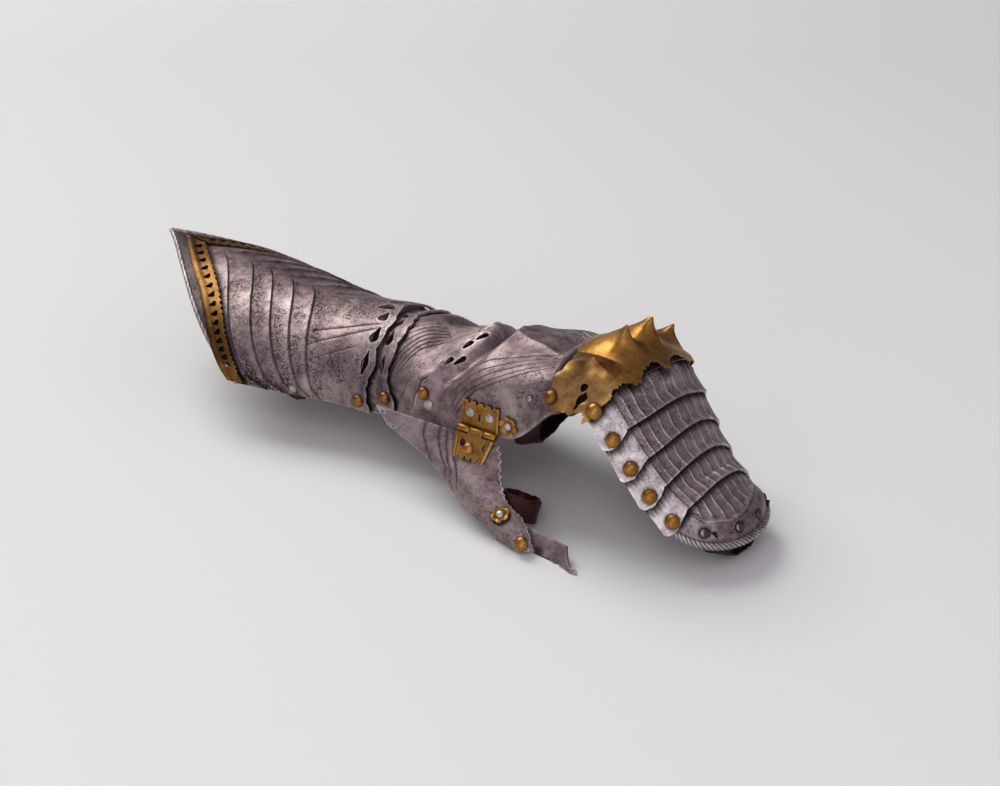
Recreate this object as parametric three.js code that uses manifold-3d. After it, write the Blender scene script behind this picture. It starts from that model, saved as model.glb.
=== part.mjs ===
// A left-hand mitten gauntlet of the late fifteenth century, in millimetres, +Z up.
// It lies as it would on a table: on the far lower edge of its cuff, on its thumb and on the leather
// loop under its fingertips. +X runs from the cuff to the fingertips, the thumb is on the -Y side.
import * as THREE from 'three';
import { mergeVertices } from 'three/addons/utils/BufferGeometryUtils.js';
import Module from 'manifold-3d';

const wasm = await Module();
wasm.setup();

const radians = (degrees) => THREE.MathUtils.degToRad(degrees);
const mix = (a, b, t) => a + (b - a) * t;
const smooth = (t) => THREE.MathUtils.smoothstep(t, 0, 1);

// Sheet metal and clearances
const wall = 1.2;
const slideGap = 0.6;
const seatGap = 0.3;
const coverGap = 0.55;
const brassWall = 0.9;
const step = wall + slideGap;
const foldStepShare = 0.6;

// Posture: the whole gauntlet leans over to its far side, and the hand is turned and twisted on the wrist,
// about a point inside the knuckles
const rollDegrees = 7;
const turnDegrees = -3;
const twistDegrees = 4;
const handCentreX = 60;
const handCentreY = -5;
const handCentreZ = 60;

// How far each plate leans from the vertical at its rivets, and how far it sweeps round them, in degrees
const leans = { cuff: 0, lame: -17, palm: 24, knuckle: -24, mid: 6, finger: 32, lames: [48, 48, 44, 38] };
const wristSweeps = [[-14, -2], [-4, 7]];
const rearSweeps = [[-14, 14], [-16, -2], [12, 26]];
const frontSweeps = [[0, 28], [-8, 12]];
const knuckleSweeps = [[-6, 10], [-12, 6]];
const lameSweeps = [[-12, 13], [-20, 4]];
const tipSweep = [-12, 14];
const lameCutDegrees = 8;
const handBendDegrees = 72;

// Places of the first wrist rivet, and the chain of rivet pairs from there to the fingertips
const wristX = -58.6;
const wristZ = 25.1;
const lameSpan = 15.4;
const lameRise = 20.6;
const rearPlateSpan = 25.9;
const rearPlateRise = 23.7;
const palmSpan = 77.1;
const palmRise = 13.9;
const knuckleSpan = 22.7;
const knuckleRise = 1.3;
const fingerPitch = 14.8;
const fingerFalls = [47, 49, 45, 36];

// Half widths at the rivets, measured to the outer face, and the heights of the crowns over the rivets
const cuffHalf = 38;
const lameHalf = 37;
const palmHalf = 37.5;
const knuckleHalf = 38.6;
const cuffCrown = 31.6;
const lameCrown = 26.6;
const palmCrown = 28.5;
const knuckleRearCrown = 18.2;
const knuckleMidCrown = 20.5;
const knuckleFrontCrown = 18.6;
const fingerHalf = 37.5;
const fingerCrown = 17.5;
const fingerFold = 8.5;
const fingerSlope = 0.45;
const palmMid = -2;
const handMid = -6.5;
const knuckleMid = -6.9;
const palmPeakShare = 0.3;

// How far the flanges reach below the rivets
const edgeDrop = 6;
const lameDrop = 8;
const palmDrop = 9;
const rearDrop = 12;
const frontDrop = 7;
const knuckleDrop = 8;
const knuckleMidDrop = 9;
const coverDrop = 3.5;
const tipFarDrop = 2.6;

// The front metacarpal plate has two more cross-sections, where its near edge comes down to the thumb.
// Swell and rise are what they stand out from the straight line between the palm and the knuckles.
const frontMid = -4.8;
const frontSections = [
  { placeShare: 0.36, leanDegrees: 9, bendDegrees: 82, peakShare: 0.28,
    swell: 0.41, rise: 1.86, fold: 3, near: 13, far: 9 },
  { placeShare: 0.66, leanDegrees: -6, bendDegrees: 76, peakShare: 0.2,
    swell: 0.68, rise: 1.49, fold: 6, near: 19, far: 12 },
];

// Cuff
const cuffLength = 143;
const cuffLead = 2.5;
const cuffBeak = 9;
const cuffCorner = 66;
const cuffFlare = 14;
const flareShare = 1.25;
const cuffTopFall = 1.5;
const cuffTipRise = 4;
const tipRiseShare = 0.75;
const cuffNearDrop = 5;
const cuffFarDrop = 19;
const cuffMouthDip = 8;
const cuffRidge = 1.6;
const cuffSag = 1;
const rimRadius = 1.7;
const borderWidth = 7;
const borderReach = 0.62;
const edgeSlant = 1.45;
const edgeBend = 0.9;

// Knuckle cover
const innerSpike = 13.5;
const outerSpike = 7.5;
const spikeLean = 0.25;
const spikeReach = 12;
const spikeShares = [-0.55, -0.15, 0.15, 0.55];
const spikeWidthShare = 0.2;
const spikePower = 1.2;

// Fingertip plate: its rim is half an oval
const tipReach = 28.4;
const tipHalf = 29.6;
const tipAhead = -3.4;
const tipBelow = 3.6;
const tipPitch = -0.11;
const tipTilt = 0.17;
const tipBulge = 4.5;
const bulgeOut = [0.7, 0, 0.5];
const tipShares = [0.2, 0.45, 0.72, 1];
const ropeRadius = 1.9;
const ropeShares = [-0.94, 0.7];

// Rivets
const domeRadius = 3.5;
const domeHeight = 2.4;
const shankRadius = 1.3;
const holeRadius = 1.8;
const tailRadius = 2.3;
const tailHeight = 0.8;
const smallDomeRadius = 2.8;
const smallDomeHeight = 1.9;
const rearDomeRadius = 3.2;
const smallTailRadius = 1.9;
const rosetteRadius = 4.7;
const petals = 6;
const petalDepth = 0.22;
const flatRadius = 2.3;
const flatHeight = 0.9;
const smallRadius = 1.5;
const shankSides = 8;
const barrelSides = 12;

// Thumb hinge
const hingeX = 14;
const hingeZ = 33.2;
const hingeLength = 20.5;
const knuckleLength = 7.5;
const barrelRadius = 1.9;
const pinRadius = 0.8;
const leafWall = 0.8;
const upperLeafHeight = 14;
const lowerLeafHeight = 13.5;
const upperTaperShare = 0.96;
const lowerTaperShare = 0.8;
const leafRivetSpread = 5.2;
const upperRivetShare = 0.58;
const lowerRivetShare = 0.62;
const lowerRivetBack = 1;
const barrelCutShare = 0.55;
const slopeDegrees = 26.1;

// Thumb plate and tip lame, measured from the hinge axis: along X, and down the slope
const thumbSpan = 60;
const thumbDrop = 45;
const thumbBulge = 5;
const tipLameInset = 3.4;

// Places of rivets on the plates: how many ribs along, and which share of the way round
const lockPlace = [1, 0.86];
const palmStrapPlace = [4.4, 0.85];
const frontRosettePlace = [3.95, -0.945];
const thumbRosettePlace = [5.55, 0.33];
const tipRivetPlace = [7.9, 0.45];
const liningPlace = 4.9;
const liningShares = [-0.62, -0.22, 0.12, 0.56];

// Leather
const leatherWall = 1.6;
const thumbLoopRadius = 10;
const thumbLoopAlong = thumbSpan * 0.425;
const thumbLoopDrop = thumbDrop * 0.467;
const thumbLoopInset = 11.8;
const tabShares = [0.35, 0.7];
const loopInset = 2.5;
const tabWidth = 8;
const tabTail = 3.5;
const tabInset = 1.9;
const loopWidth = 11;
const palmStrapWidth = 13;
const palmStrapX = 33;
const palmStrapZ = 25;
const strapRise = 5;
const fingerLoopX = 128;
const fingerLoopY = -12;
const fingerLoopWidth = 11;
const loopRise = 4;
const strapInsets = [3.7, 2, 1.3];
const loopInsets = [2, 1.9, 3.4];
const bandSteps = 18;
const stubWidth = 11;
const stubBack = 35;
const stubSeatShare = 0.87;
const nearStubShares = [-1.2, -0.8];
const farStubShares = [0.8, 0.97];

// Colours
const steel = { color: 0x77716f, roughness: 0.42, metalness: 0.9 };
const iron = { color: 0x6a6463, roughness: 0.5, metalness: 0.85 };
const brass = { color: 0x9a6f2c, roughness: 0.38, metalness: 0.9 };
const leather = { color: 0x2b1210, roughness: 0.75, metalness: 0 };

const handCentre = new THREE.Vector3(handCentreX, handCentreY, handCentreZ);
const handTurn = new THREE.Quaternion()
  .setFromAxisAngle(new THREE.Vector3(0, 0, 1), radians(turnDegrees))
  .multiply(new THREE.Quaternion().setFromAxisAngle(new THREE.Vector3(1, 0, 0), radians(-twistDegrees)));
const toHand = (p) => p.sub(handCentre).applyQuaternion(handTurn).add(handCentre);
const stay = (p) => p;

// The rivet pairs, as points in the plane of X and Z
function ahead(from, span, rise) {
  return { x: from.x + span * Math.cos(radians(rise)), z: from.z + span * Math.sin(radians(rise)) };
}
const pivots = { cuff: { x: wristX, z: wristZ } };
pivots.lame = ahead(pivots.cuff, lameSpan, lameRise);
pivots.palm = ahead(pivots.lame, rearPlateSpan, rearPlateRise);
pivots.knuckle = ahead(pivots.palm, palmSpan, palmRise);
pivots.finger = ahead(pivots.knuckle, knuckleSpan, knuckleRise);
const fingerPivots = [pivots.finger];
for (const fall of fingerFalls) fingerPivots.push(ahead(fingerPivots.at(-1), fingerPitch, -fall));

// One cross-section of a plate: an arch over a rivet pair, with a straight flange below each fold.
// It leans from the vertical by lean degrees, and turn adds an angle about the rivets to its arch.
const foldShare = 0.78;
const flangeShare = 0.7;
const springShare = 0.4;
const nudge = 0.02;
function rib(at, lean, size, turn = 0) {
  const { half, crown, fold = 0, slope = 0, bend = 90, mid = 0, peak = 0, cut = 0 } = size;
  const { near = edgeDrop, far = edgeDrop } = size;
  const frame = size.frame ?? stay;
  const arc = radians(bend);
  const foldHalf = half - slope * fold;
  return (v) => {
    const side = Math.sign(v);
    const share = Math.abs(v);
    let across = 0;
    let rise = 0;
    if (share <= foldShare) {
      const angle = arc * share / foldShare;
      across = foldHalf * Math.sin(angle) / Math.sin(arc);
      const round = (Math.cos(angle) - Math.cos(arc)) / (1 - Math.cos(arc));
      rise = fold + (crown - fold) * mix(round, 1 - across / foldHalf, peak);
    } else {
      const drop = side < 0 ? near : far;
      rise = mix(fold, -drop, (share - foldShare) / (1 - foldShare));
      across = half - slope * rise;
    }
    const onArch = THREE.MathUtils.clamp(rise / Math.max(fold, crown * springShare), 0, 1);
    const tilt = radians(lean + turn - cut * Math.max(0, 1 - (v / foldShare) ** 2));
    const base = radians(lean);
    const along = crown * flangeShare * Math.sin(radians(turn));
    const x = mix(rise * Math.sin(base) + along * Math.cos(base), rise * Math.sin(tilt), onArch);
    const z = mix(rise * Math.cos(base) - along * Math.sin(base), rise * Math.cos(tilt), onArch);
    return frame(new THREE.Vector3(at.x + x, mid + side * across, at.z + z));
  };
}

// Ribs that sweep about one rivet pair, as a plate does that turns on it
function sweep(at, lean, size, [from, to], count = 3) {
  return Array.from({ length: count }, (_, i) => rib(at, lean, size, mix(from, to, i / (count - 1))));
}

function spread(count) {
  return Array.from({ length: count + 1 }, (_, i) => -1 + 2 * i / count);
}
const columns = spread(20);
const loft = (ribs) => ribs.map((section) => columns.map(section));

// A place on a lofted plate: t counts its ribs, v goes round them. The seat lies on the outer face.
function pointOn(ribs, t, v) {
  const i = Math.min(Math.floor(t), ribs.length - 2);
  return ribs[i](v).lerp(ribs[i + 1](v), t - i);
}
function seatOn(ribs, t, v) {
  const [before, after] = [Math.max(t - nudge, 0), Math.min(t + nudge, ribs.length - 1)];
  const along = pointOn(ribs, after, v).sub(pointOn(ribs, before, v));
  const across = pointOn(ribs, t, v + nudge).sub(pointOn(ribs, t, v - nudge));
  return { seat: pointOn(ribs, t, v), out: along.cross(across).normalize() };
}

// A closed shell: the given points are its outer face, thickness is laid on inside them
function shell(rows, thickness) {
  const m = rows.length;
  const n = rows[0].length;
  const inner = rows.map((row, i) => row.map((p, j) => {
    const along = rows[Math.min(i + 1, m - 1)][j].clone().sub(rows[Math.max(i - 1, 0)][j]);
    const across = row[Math.min(j + 1, n - 1)].clone().sub(row[Math.max(j - 1, 0)]);
    return p.clone().addScaledVector(along.cross(across).normalize(), -thickness);
  }));
  const points = [...rows.flat(), ...inner.flat()];
  const at = (i, j) => i * n + j;
  const under = (i, j) => m * n + i * n + j;
  const faces = [];
  const quad = (a, b, c, d) => faces.push(a, b, c, a, c, d);
  for (let i = 0; i < m - 1; i += 1) {
    for (let j = 0; j < n - 1; j += 1) {
      quad(at(i, j), at(i + 1, j), at(i + 1, j + 1), at(i, j + 1));
      quad(under(i, j), under(i, j + 1), under(i + 1, j + 1), under(i + 1, j));
    }
  }
  for (let i = 0; i < m - 1; i += 1) {
    quad(at(i, 0), under(i, 0), under(i + 1, 0), at(i + 1, 0));
    quad(at(i, n - 1), at(i + 1, n - 1), under(i + 1, n - 1), under(i, n - 1));
  }
  for (let j = 0; j < n - 1; j += 1) {
    quad(at(0, j), at(0, j + 1), under(0, j + 1), under(0, j));
    quad(at(m - 1, j), under(m - 1, j), under(m - 1, j + 1), at(m - 1, j + 1));
  }
  const geometry = new THREE.BufferGeometry();
  geometry.setAttribute('position', new THREE.Float32BufferAttribute(points.flatMap((p) => p.toArray()), 3));
  geometry.setIndex(faces);
  return geometry;
}

// Solids for cutting and joining
function solid(geometry) {
  const bare = geometry.clone();
  bare.deleteAttribute('normal');
  bare.deleteAttribute('uv');
  const merged = mergeVertices(bare);
  return new wasm.Manifold(new wasm.Mesh({
    numProp: 3,
    vertProperties: new Float32Array(merged.attributes.position.array),
    triVerts: new Uint32Array(merged.index.array),
  }));
}

function shape(body) {
  const mesh = body.getMesh();
  const geometry = new THREE.BufferGeometry();
  geometry.setAttribute('position', new THREE.BufferAttribute(new Float32Array(mesh.vertProperties), 3));
  geometry.setIndex(new THREE.BufferAttribute(new Uint32Array(mesh.triVerts), 1));
  return geometry;
}

// A turned piece along a direction, from its profile of radius and height pairs
function turned(profile, base, direction, sides = shankSides) {
  const lathe = new THREE.LatheGeometry(profile.map(([r, h]) => new THREE.Vector2(r, h)), sides);
  const spin = new THREE.Quaternion().setFromUnitVectors(new THREE.Vector3(0, 1, 0), direction);
  lathe.applyQuaternion(spin);
  lathe.translate(base.x, base.y, base.z);
  return solid(lathe);
}

function rod(base, direction, radius, below, above, sides = shankSides) {
  return turned([[0, -below], [radius, -below], [radius, above], [0, above]], base, direction, sides);
}

// A rivet through plates that reach depth below its seat: head, shank and tail in one piece
const domeShares = [[1, 0], [0.92, 0.5], [0.55, 0.88], [0, 1]];
function rivet(seat, out, { head = domeRadius, height = domeHeight, depth, tail = tailRadius }) {
  const foot = -depth - seatGap;
  const profile = [[0, foot - tailHeight], [tail, foot - tailHeight], [tail, foot], [shankRadius, foot],
    [shankRadius, seatGap], ...domeShares.map(([wide, high]) => [head * wide, seatGap + height * high])];
  return turned(profile, seat, out);
}

// The outward direction and the seat of a rivet on the near or far flange of a rib
function seatOf(at, lean, size, side) {
  const frame = size.frame ?? stay;
  const slope = Math.atan(size.slope ?? 0);
  const seat = frame(new THREE.Vector3(at.x, (size.mid ?? 0) + side * size.half, at.z));
  const out = new THREE.Vector3(Math.sin(radians(lean)) * Math.sin(slope), side * Math.cos(slope),
    Math.cos(radians(lean)) * Math.sin(slope));
  const tip = frame(new THREE.Vector3(at.x, (size.mid ?? 0) + side * size.half, at.z).add(out));
  return { seat, out: tip.sub(seat) };
}

const sides = [-1, 1];

function drill(body, at, lean, size, radius = holeRadius) {
  const tools = sides.map((side) => {
    const { seat, out } = seatOf(at, lean, size, side);
    return rod(seat, out, radius, 3 * step, 3 * step);
  });
  return tools.reduce((rest, tool) => rest.subtract(tool), body);
}

// Sizes of the plates at the rivets: outside is the plate on top, inside slides under it
const inside = (size) => ({ ...size, half: size.half - step * Math.hypot(1, size.slope ?? 0),
  crown: size.crown - step, fold: Math.max(0, (size.fold ?? 0) - step * foldStepShare) });
const atCuff = { half: cuffHalf, crown: cuffCrown };
const drops = (drop) => ({ near: drop, far: drop });
const atLame = { half: lameHalf, crown: lameCrown, ...drops(lameDrop) };
const atPalm = { half: palmHalf, crown: palmCrown, mid: palmMid, peak: palmPeakShare, ...drops(palmDrop) };
const hand = { frame: toHand, mid: handMid, slope: fingerSlope, fold: fingerFold, bend: handBendDegrees };
const overHand = { ...hand, mid: knuckleMid, half: knuckleHalf };
const atKnuckle = { ...overHand, crown: knuckleRearCrown, ...drops(knuckleDrop) };
const overKnuckles = { ...overHand, crown: knuckleMidCrown, ...drops(knuckleMidDrop) };
const atFingers = { ...overHand, crown: knuckleFrontCrown };
const lameSizes = fingerFalls.map((_, i) => (
  { ...hand, half: fingerHalf - i * step * Math.hypot(1, fingerSlope), crown: fingerCrown }));

// The ground plane, in the plates' own frame
const roll = radians(rollDegrees);
const up = new THREE.Vector3(0, -Math.sin(roll), Math.cos(roll));
function aboveGround(body) {
  const depth = cuffLength;
  const box = new THREE.BoxGeometry(4 * cuffLength, 2 * cuffLength, depth);
  box.applyQuaternion(new THREE.Quaternion().setFromAxisAngle(new THREE.Vector3(1, 0, 0), roll));
  box.translate(-up.x * depth / 2, -up.y * depth / 2, -up.z * depth / 2);
  return body.subtract(solid(box));
}

const group = new THREE.Group();
function add(name, body, finish) {
  const geometry = body.isBufferGeometry ? body : shape(body);
  const mesh = new THREE.Mesh(geometry, new THREE.MeshStandardMaterial(finish));
  mesh.name = name;
  group.add(mesh);
}

// Cuff: a flaring half tube with a ridge along its top, cut to a point at the rear
const cuffFront = wristX + cuffLead;
const cuffTip = cuffFront - cuffLength - cuffBeak;
const cuffRear = wristX - cuffCorner;
function cuffPoint(x, v, lift = 0) {
  const back = Math.max(0, (wristX - x) / cuffCorner);
  const half = cuffHalf + cuffFlare * smooth(back / flareShare) + lift;
  const spring = wristZ - cuffSag * Math.min(1, back);
  const climb = cuffTipRise * Math.max(0, back - tipRiseShare) ** 1.5;
  const top = wristZ + cuffCrown - cuffTopFall * smooth(back) + climb + lift;
  const share = Math.abs(v);
  const side = Math.sign(v);
  if (share > foldShare) {
    const far = mix(edgeDrop, cuffFarDrop, smooth(back * 2));
    const drop = side < 0 ? cuffNearDrop : far;
    const k = (share - foldShare) / (1 - foldShare);
    return new THREE.Vector3(x, side * half, spring - drop * k);
  }
  const angle = share / foldShare * Math.PI / 2;
  const ridge = cuffRidge * (1 - share / foldShare) ** 3;
  const height = spring + (top - spring) * Math.cos(angle) + ridge;
  return new THREE.Vector3(x, side * half * Math.sin(angle), height);
}
const cuffEdge = (v) => mix(cuffTip, cuffRear, Math.min(1, Math.abs(v) / foldShare) ** edgeBend);
const cuffMouth = (v) => cuffFront - cuffMouthDip * (1 - Math.abs(v)) ** 2;
const cuffRows = (rows) => Array.from({ length: rows + 1 }, (_, i) => columns.map((v) => (
  cuffPoint(mix(cuffEdge(v), cuffMouth(v), i / rows), v))));

function tube(points, radius, sidesAround, stations) {
  const path = new THREE.CatmullRomCurve3(points);
  const outline = new THREE.Shape();
  outline.absarc(0, 0, radius, 0, 2 * Math.PI);
  const geometry = new THREE.ExtrudeGeometry(outline, { steps: stations, extrudePath: path,
    curveSegments: sidesAround, bevelEnabled: false });
  return solid(geometry);
}

function cuffPlate() {
  const rim = tube(columns.map((v) => cuffPoint(cuffEdge(v), v)), rimRadius, 6, 36);
  let body = solid(shell(cuffRows(9), wall)).add(rim);
  body = drill(body, pivots.cuff, leans.cuff, atCuff, shankRadius + seatGap);
  return aboveGround(pierce(body, stubSeats));
}

// Strap stubs inside the cuff's lower edges, each held by one flat iron rivet
const stubX = wristX - stubBack;
const stubSeats = [-stubSeatShare, stubSeatShare].map((v) => (
  seatOn(sides.map((k) => (place) => cuffPoint(stubX + k * stubWidth / 2, place)), 0.5, v)));
function strapStub([from, to], seat) {
  const rows = [-1, 0, 1].map((k) => [0, 0.5, 1].map((share) => (
    cuffPoint(stubX + k * stubWidth / 2, mix(from, to, share), -wall - 2 * seatGap))));
  return aboveGround(pierce(solid(shell(rows, leatherWall)), [seat]));
}

// Brass borders along the two rear edges, on top of the plate and mitred under the tip
const borderLift = step;
function cuffBorder(side) {
  const shares = columns.filter((v) => v * side > 0 && v * side < borderReach);
  const rows = [0, 0.5, 1].map((k) => shares.map((v) => (
    cuffPoint(cuffEdge(v) + (rimRadius + 2 * seatGap + borderWidth * k) * edgeSlant, v, borderLift))));
  return solid(shell(rows, brassWall));
}

// Wrist lame, rear and front metacarpal plates
const wristRibs = [...sweep(pivots.cuff, leans.cuff, inside(atCuff), wristSweeps[0]),
  ...sweep(pivots.lame, leans.lame, atLame, wristSweeps[1])];
function wristLame() {
  const body = drill(solid(shell(loft(wristRibs), wall)), pivots.cuff, leans.cuff, atCuff);
  return drill(body, pivots.lame, leans.lame, atLame, shankRadius + seatGap);
}
const rearRibs = [...sweep(pivots.lame, leans.lame, inside(atLame), rearSweeps[0]),
  ...sweep(pivots.palm, leans.palm, { ...inside(atPalm), ...drops(rearDrop) }, rearSweeps[1], 2),
  ...sweep(pivots.palm, leans.palm, inside(atPalm), rearSweeps[2], 2)];
const underKnuckle = { ...inside(atKnuckle), ...drops(frontDrop) };
const frontHalf = ({ placeShare, swell }) => mix(palmHalf, underKnuckle.half, placeShare) + swell;
function frontRib(section) {
  const { placeShare, leanDegrees, bendDegrees, peakShare, rise, fold, near, far } = section;
  const at = { x: mix(pivots.palm.x, pivots.knuckle.x, placeShare),
    z: mix(pivots.palm.z, pivots.knuckle.z, placeShare) };
  const crown = mix(palmCrown, underKnuckle.crown, placeShare) + rise;
  return rib(at, leanDegrees, { half: frontHalf(section), crown, fold, bend: bendDegrees,
    mid: frontMid, peak: peakShare, near, far });
}
const frontRibs = [...sweep(pivots.palm, leans.palm, atPalm, frontSweeps[0]), ...frontSections.map(frontRib),
  ...sweep(pivots.knuckle, leans.knuckle, underKnuckle, frontSweeps[1])];
// The two metacarpal plates are fixed together by a second rivet each side
const pairOn = (ribs, [place, share]) => sides.map((side) => seatOn(ribs, place, side * share));
const lockSeats = pairOn(frontRibs, lockPlace);
const strapSeats = pairOn(frontRibs, palmStrapPlace);
function rearPlate() {
  const body = drill(solid(shell(loft(rearRibs), wall)), pivots.lame, leans.lame, atLame);
  return pierce(drill(body, pivots.palm, leans.palm, atPalm, shankRadius + seatGap), lockSeats);
}
function frontPlate() {
  const plate = solid(shell(loft(frontRibs), wall));
  const body = drill(plate, pivots.palm, leans.palm, atPalm, shankRadius + seatGap);
  return pierce(drill(body, pivots.knuckle, leans.knuckle, atKnuckle),
    [...lockSeats, ...strapSeats, ...upperLeafSeats, rosetteSeats[0]]);
}

// Holes for rivets that fix plates together
function pierce(body, seats) {
  return seats.reduce((rest, { seat, out }) => (
    rest.subtract(rod(seat, out, shankRadius + seatGap, 3 * step, 2 * step))), body);
}

// Knuckle plate of steel, and the spiked brass cover that lies on it
const knuckleMiddle = { x: mix(pivots.knuckle.x, pivots.finger.x, 0.5),
  z: mix(pivots.knuckle.z, pivots.finger.z, 0.5) };
function knuckleRibs(lift, flange) {
  const grow = (size) => ({ ...size, half: size.half + lift * Math.hypot(1, fingerSlope),
    crown: size.crown + lift, fold: size.fold + lift / 2, ...flange });
  return [...sweep(pivots.knuckle, leans.knuckle, grow(atKnuckle), knuckleSweeps[0], 2),
    rib(knuckleMiddle, leans.mid, grow(overKnuckles)),
    ...sweep(pivots.finger, leans.finger, grow(atFingers), knuckleSweeps[1])];
}
function drillKnuckle(body) {
  const rear = drill(body, pivots.knuckle, leans.knuckle, atKnuckle, shankRadius + seatGap);
  return drill(rear, pivots.finger, leans.finger, atFingers, shankRadius + seatGap);
}
// The cover's own rows lie on the straight lines between the plate's ribs
const coverSteps = [1, 4, 3, 1, 1];
const coverLift = coverGap + brassWall;
const crestRib = 2;
function knuckleCover() {
  const ribs = knuckleRibs(coverLift, drops(coverDrop));
  const places = coverSteps.flatMap((count, i) => Array.from({ length: count }, (_, k) => i + k / count));
  const rows = [...places, ribs.length - 1].map((t) => spread(2 * (columns.length - 1)).map((v) => {
    const { seat, out } = seatOn(ribs, t, v);
    const fore = seat.distanceTo(pointOn(ribs, crestRib, v)) / spikeReach;
    const peaks = spikeShares.map((place) => {
      const away = Math.max(Math.abs(v - place) / spikeWidthShare, fore);
      return mix(innerSpike, outerSpike, Math.abs(place)) * Math.max(0, 1 - away) ** spikePower;
    });
    const height = Math.max(...peaks);
    return seat.addScaledVector(out, height).add(new THREE.Vector3(height * spikeLean, 0, 0));
  }));
  return drillKnuckle(solid(shell(rows, brassWall)));
}

// Finger lames: each slides under the one behind it
const overLame = (i) => (i ? lameSizes[i - 1] : atFingers);
const leanOf = (i) => (i ? leans.lames[i - 1] : leans.finger);
function fingerLame(i) {
  const [rear, front] = [fingerPivots[i], fingerPivots[i + 1]];
  const ribs = [...sweep(rear, leanOf(i), inside(overLame(i)), lameSweeps[0]),
    ...sweep(front, leanOf(i + 1), { ...lameSizes[i], cut: lameCutDegrees }, lameSweeps[1])];
  const body = drill(solid(shell(loft(ribs), wall)), rear, leanOf(i), overLame(i));
  return drill(body, front, leanOf(i + 1), lameSizes[i], shankRadius + seatGap);
}

// Fingertip plate: from under the last lame to a rim of half an oval, which is turned and roped
const tipPivot = fingerPivots[4];
function rimPoint(v) {
  const angle = v * Math.PI / 2;
  const x = tipPivot.x + tipAhead * (1 - 2 * Math.max(0, v) ** 2) + tipReach * Math.cos(angle);
  const y = handMid + tipHalf * Math.sin(angle);
  const tilted = tipPitch * tipReach * Math.cos(angle) + tipTilt * (y - handMid) * (1 - v ** 4);
  return toHand(new THREE.Vector3(x, y, tipPivot.z - tipBelow + tilted));
}
const tipSize = { ...inside(lameSizes[3]), far: tipFarDrop };
const tipRear = sweep(tipPivot, leans.lames[3], tipSize, tipSweep);
const tipOut = toHand(new THREE.Vector3(...bulgeOut).add(handCentre)).sub(handCentre);
const tipRibs = [...tipRear, ...tipShares.map((k) => (v) => tipRear.at(-1)(v).lerp(rimPoint(v), k)
  .addScaledVector(tipOut, tipBulge * Math.sin(Math.PI * k) * (1 - v * v)))];
const liningSeats = liningShares.map((v) => seatOn(tipRibs, liningPlace, v));
const ropeSteps = 20;
function fingertipPlate() {
  const path = Array.from({ length: ropeSteps + 1 }, (_, i) => rimPoint(mix(...ropeShares, i / ropeSteps)));
  const body = solid(shell(loft(tipRibs), wall)).add(tube(path, ropeRadius, 6, 28));
  return pierce(drill(body, tipPivot, leans.lames[3], lameSizes[3]), liningSeats);
}

// Thumb hinge: two leaves that share a barrel around a pin
const hingeAxis = new THREE.Vector3(1, 0, 0);
const hingeY = frontMid - frontHalf(frontSections[0]) - slideGap - barrelRadius;
const hinge = new THREE.Vector3(hingeX, hingeY, hingeZ);
const onHinge = (x, y, z) => new THREE.Vector3(hingeX + x, hingeY + y, hingeZ + z);
function leaf(height, turn, taper, own) {
  const lean = new THREE.Quaternion().setFromAxisAngle(hingeAxis, turn);
  const plate = new THREE.BoxGeometry(hingeLength, leafWall, height);
  plate.translate(0, barrelRadius - leafWall / 2, height / 2);
  const corners = plate.attributes.position;
  for (let i = 0; i < corners.count; i += 1) {
    if (corners.getZ(i) > height / 2) corners.setX(i, corners.getX(i) * taper);
  }
  plate.applyQuaternion(lean);
  plate.translate(hinge.x, hinge.y, hinge.z);
  let body = solid(plate);
  const ends = (hingeLength - knuckleLength) / 2;
  const clear = barrelRadius + seatGap;
  const knuckle = (x, length, radius) => (
    rod(onHinge(x, 0, 0), hingeAxis, radius, length / 2, length / 2, barrelSides));
  const ears = sides.map((side) => side * (knuckleLength + ends) / 2);
  if (own === 'middle') {
    for (const x of ears) body = body.subtract(knuckle(x, ends + seatGap, clear));
    body = body.add(knuckle(0, knuckleLength - 2 * seatGap, barrelRadius));
  } else {
    body = body.subtract(knuckle(0, knuckleLength + seatGap, clear));
    for (const x of ears) body = body.add(knuckle(x, ends - seatGap, barrelRadius));
  }
  return body.subtract(rod(hinge, hingeAxis, pinRadius + seatGap, hingeLength, hingeLength, barrelSides));
}
const slope = radians(slopeDegrees);
const downThumb = new THREE.Vector3(0, -Math.sin(slope), -Math.cos(slope));
const outThumb = new THREE.Vector3(0, -Math.cos(slope), Math.sin(slope));
const onThumb = (a, b, c = 0) => new THREE.Vector3(hingeX + a, hingeY, hingeZ)
  .addScaledVector(downThumb, b).addScaledVector(outThumb, c);
const upperLeafSeats = sides.map((side) => ({
  seat: onHinge(side * leafRivetSpread, barrelRadius - leafWall, upperLeafHeight * upperRivetShare),
  out: new THREE.Vector3(0, -1, 0),
}));

// Thumb plate: rows across it, from the hinge down, each with its left and right end and its bulge,
// in shares of the thumb's span and drop
const thumbShares = [
  [-0.94, 0.06, 0.2, 0.06, 0], [-0.8, 0.21, 0.25, 0.16, 0.06], [-0.61, 0.3, 0.29, 0.31, 0.15],
  [-0.32, 0.44, 0.345, 0.45, 0.5], [-0.13, 0.6, 0.41, 0.56, 0.8], [0.08, 0.78, 0.51, 0.63, 0.95],
  [0.31, 0.88, 0.595, 0.68, 1], [0.42, 0.95, 0.68, 0.79, 0.8], [0.52, 0.985, 0.735, 0.9, 0.6],
  [0.59, 1.015, 0.77, 0.95, 0.5],
];
function thumbPoint(row, k) {
  const [left, leftDrop, right, rightDrop, bulge] = row;
  const raise = thumbBulge * bulge * (1 - (2 * k - 1) ** 2);
  return onThumb(thumbSpan * mix(left, right, k), thumbDrop * mix(leftDrop, rightDrop, k), raise);
}
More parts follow.
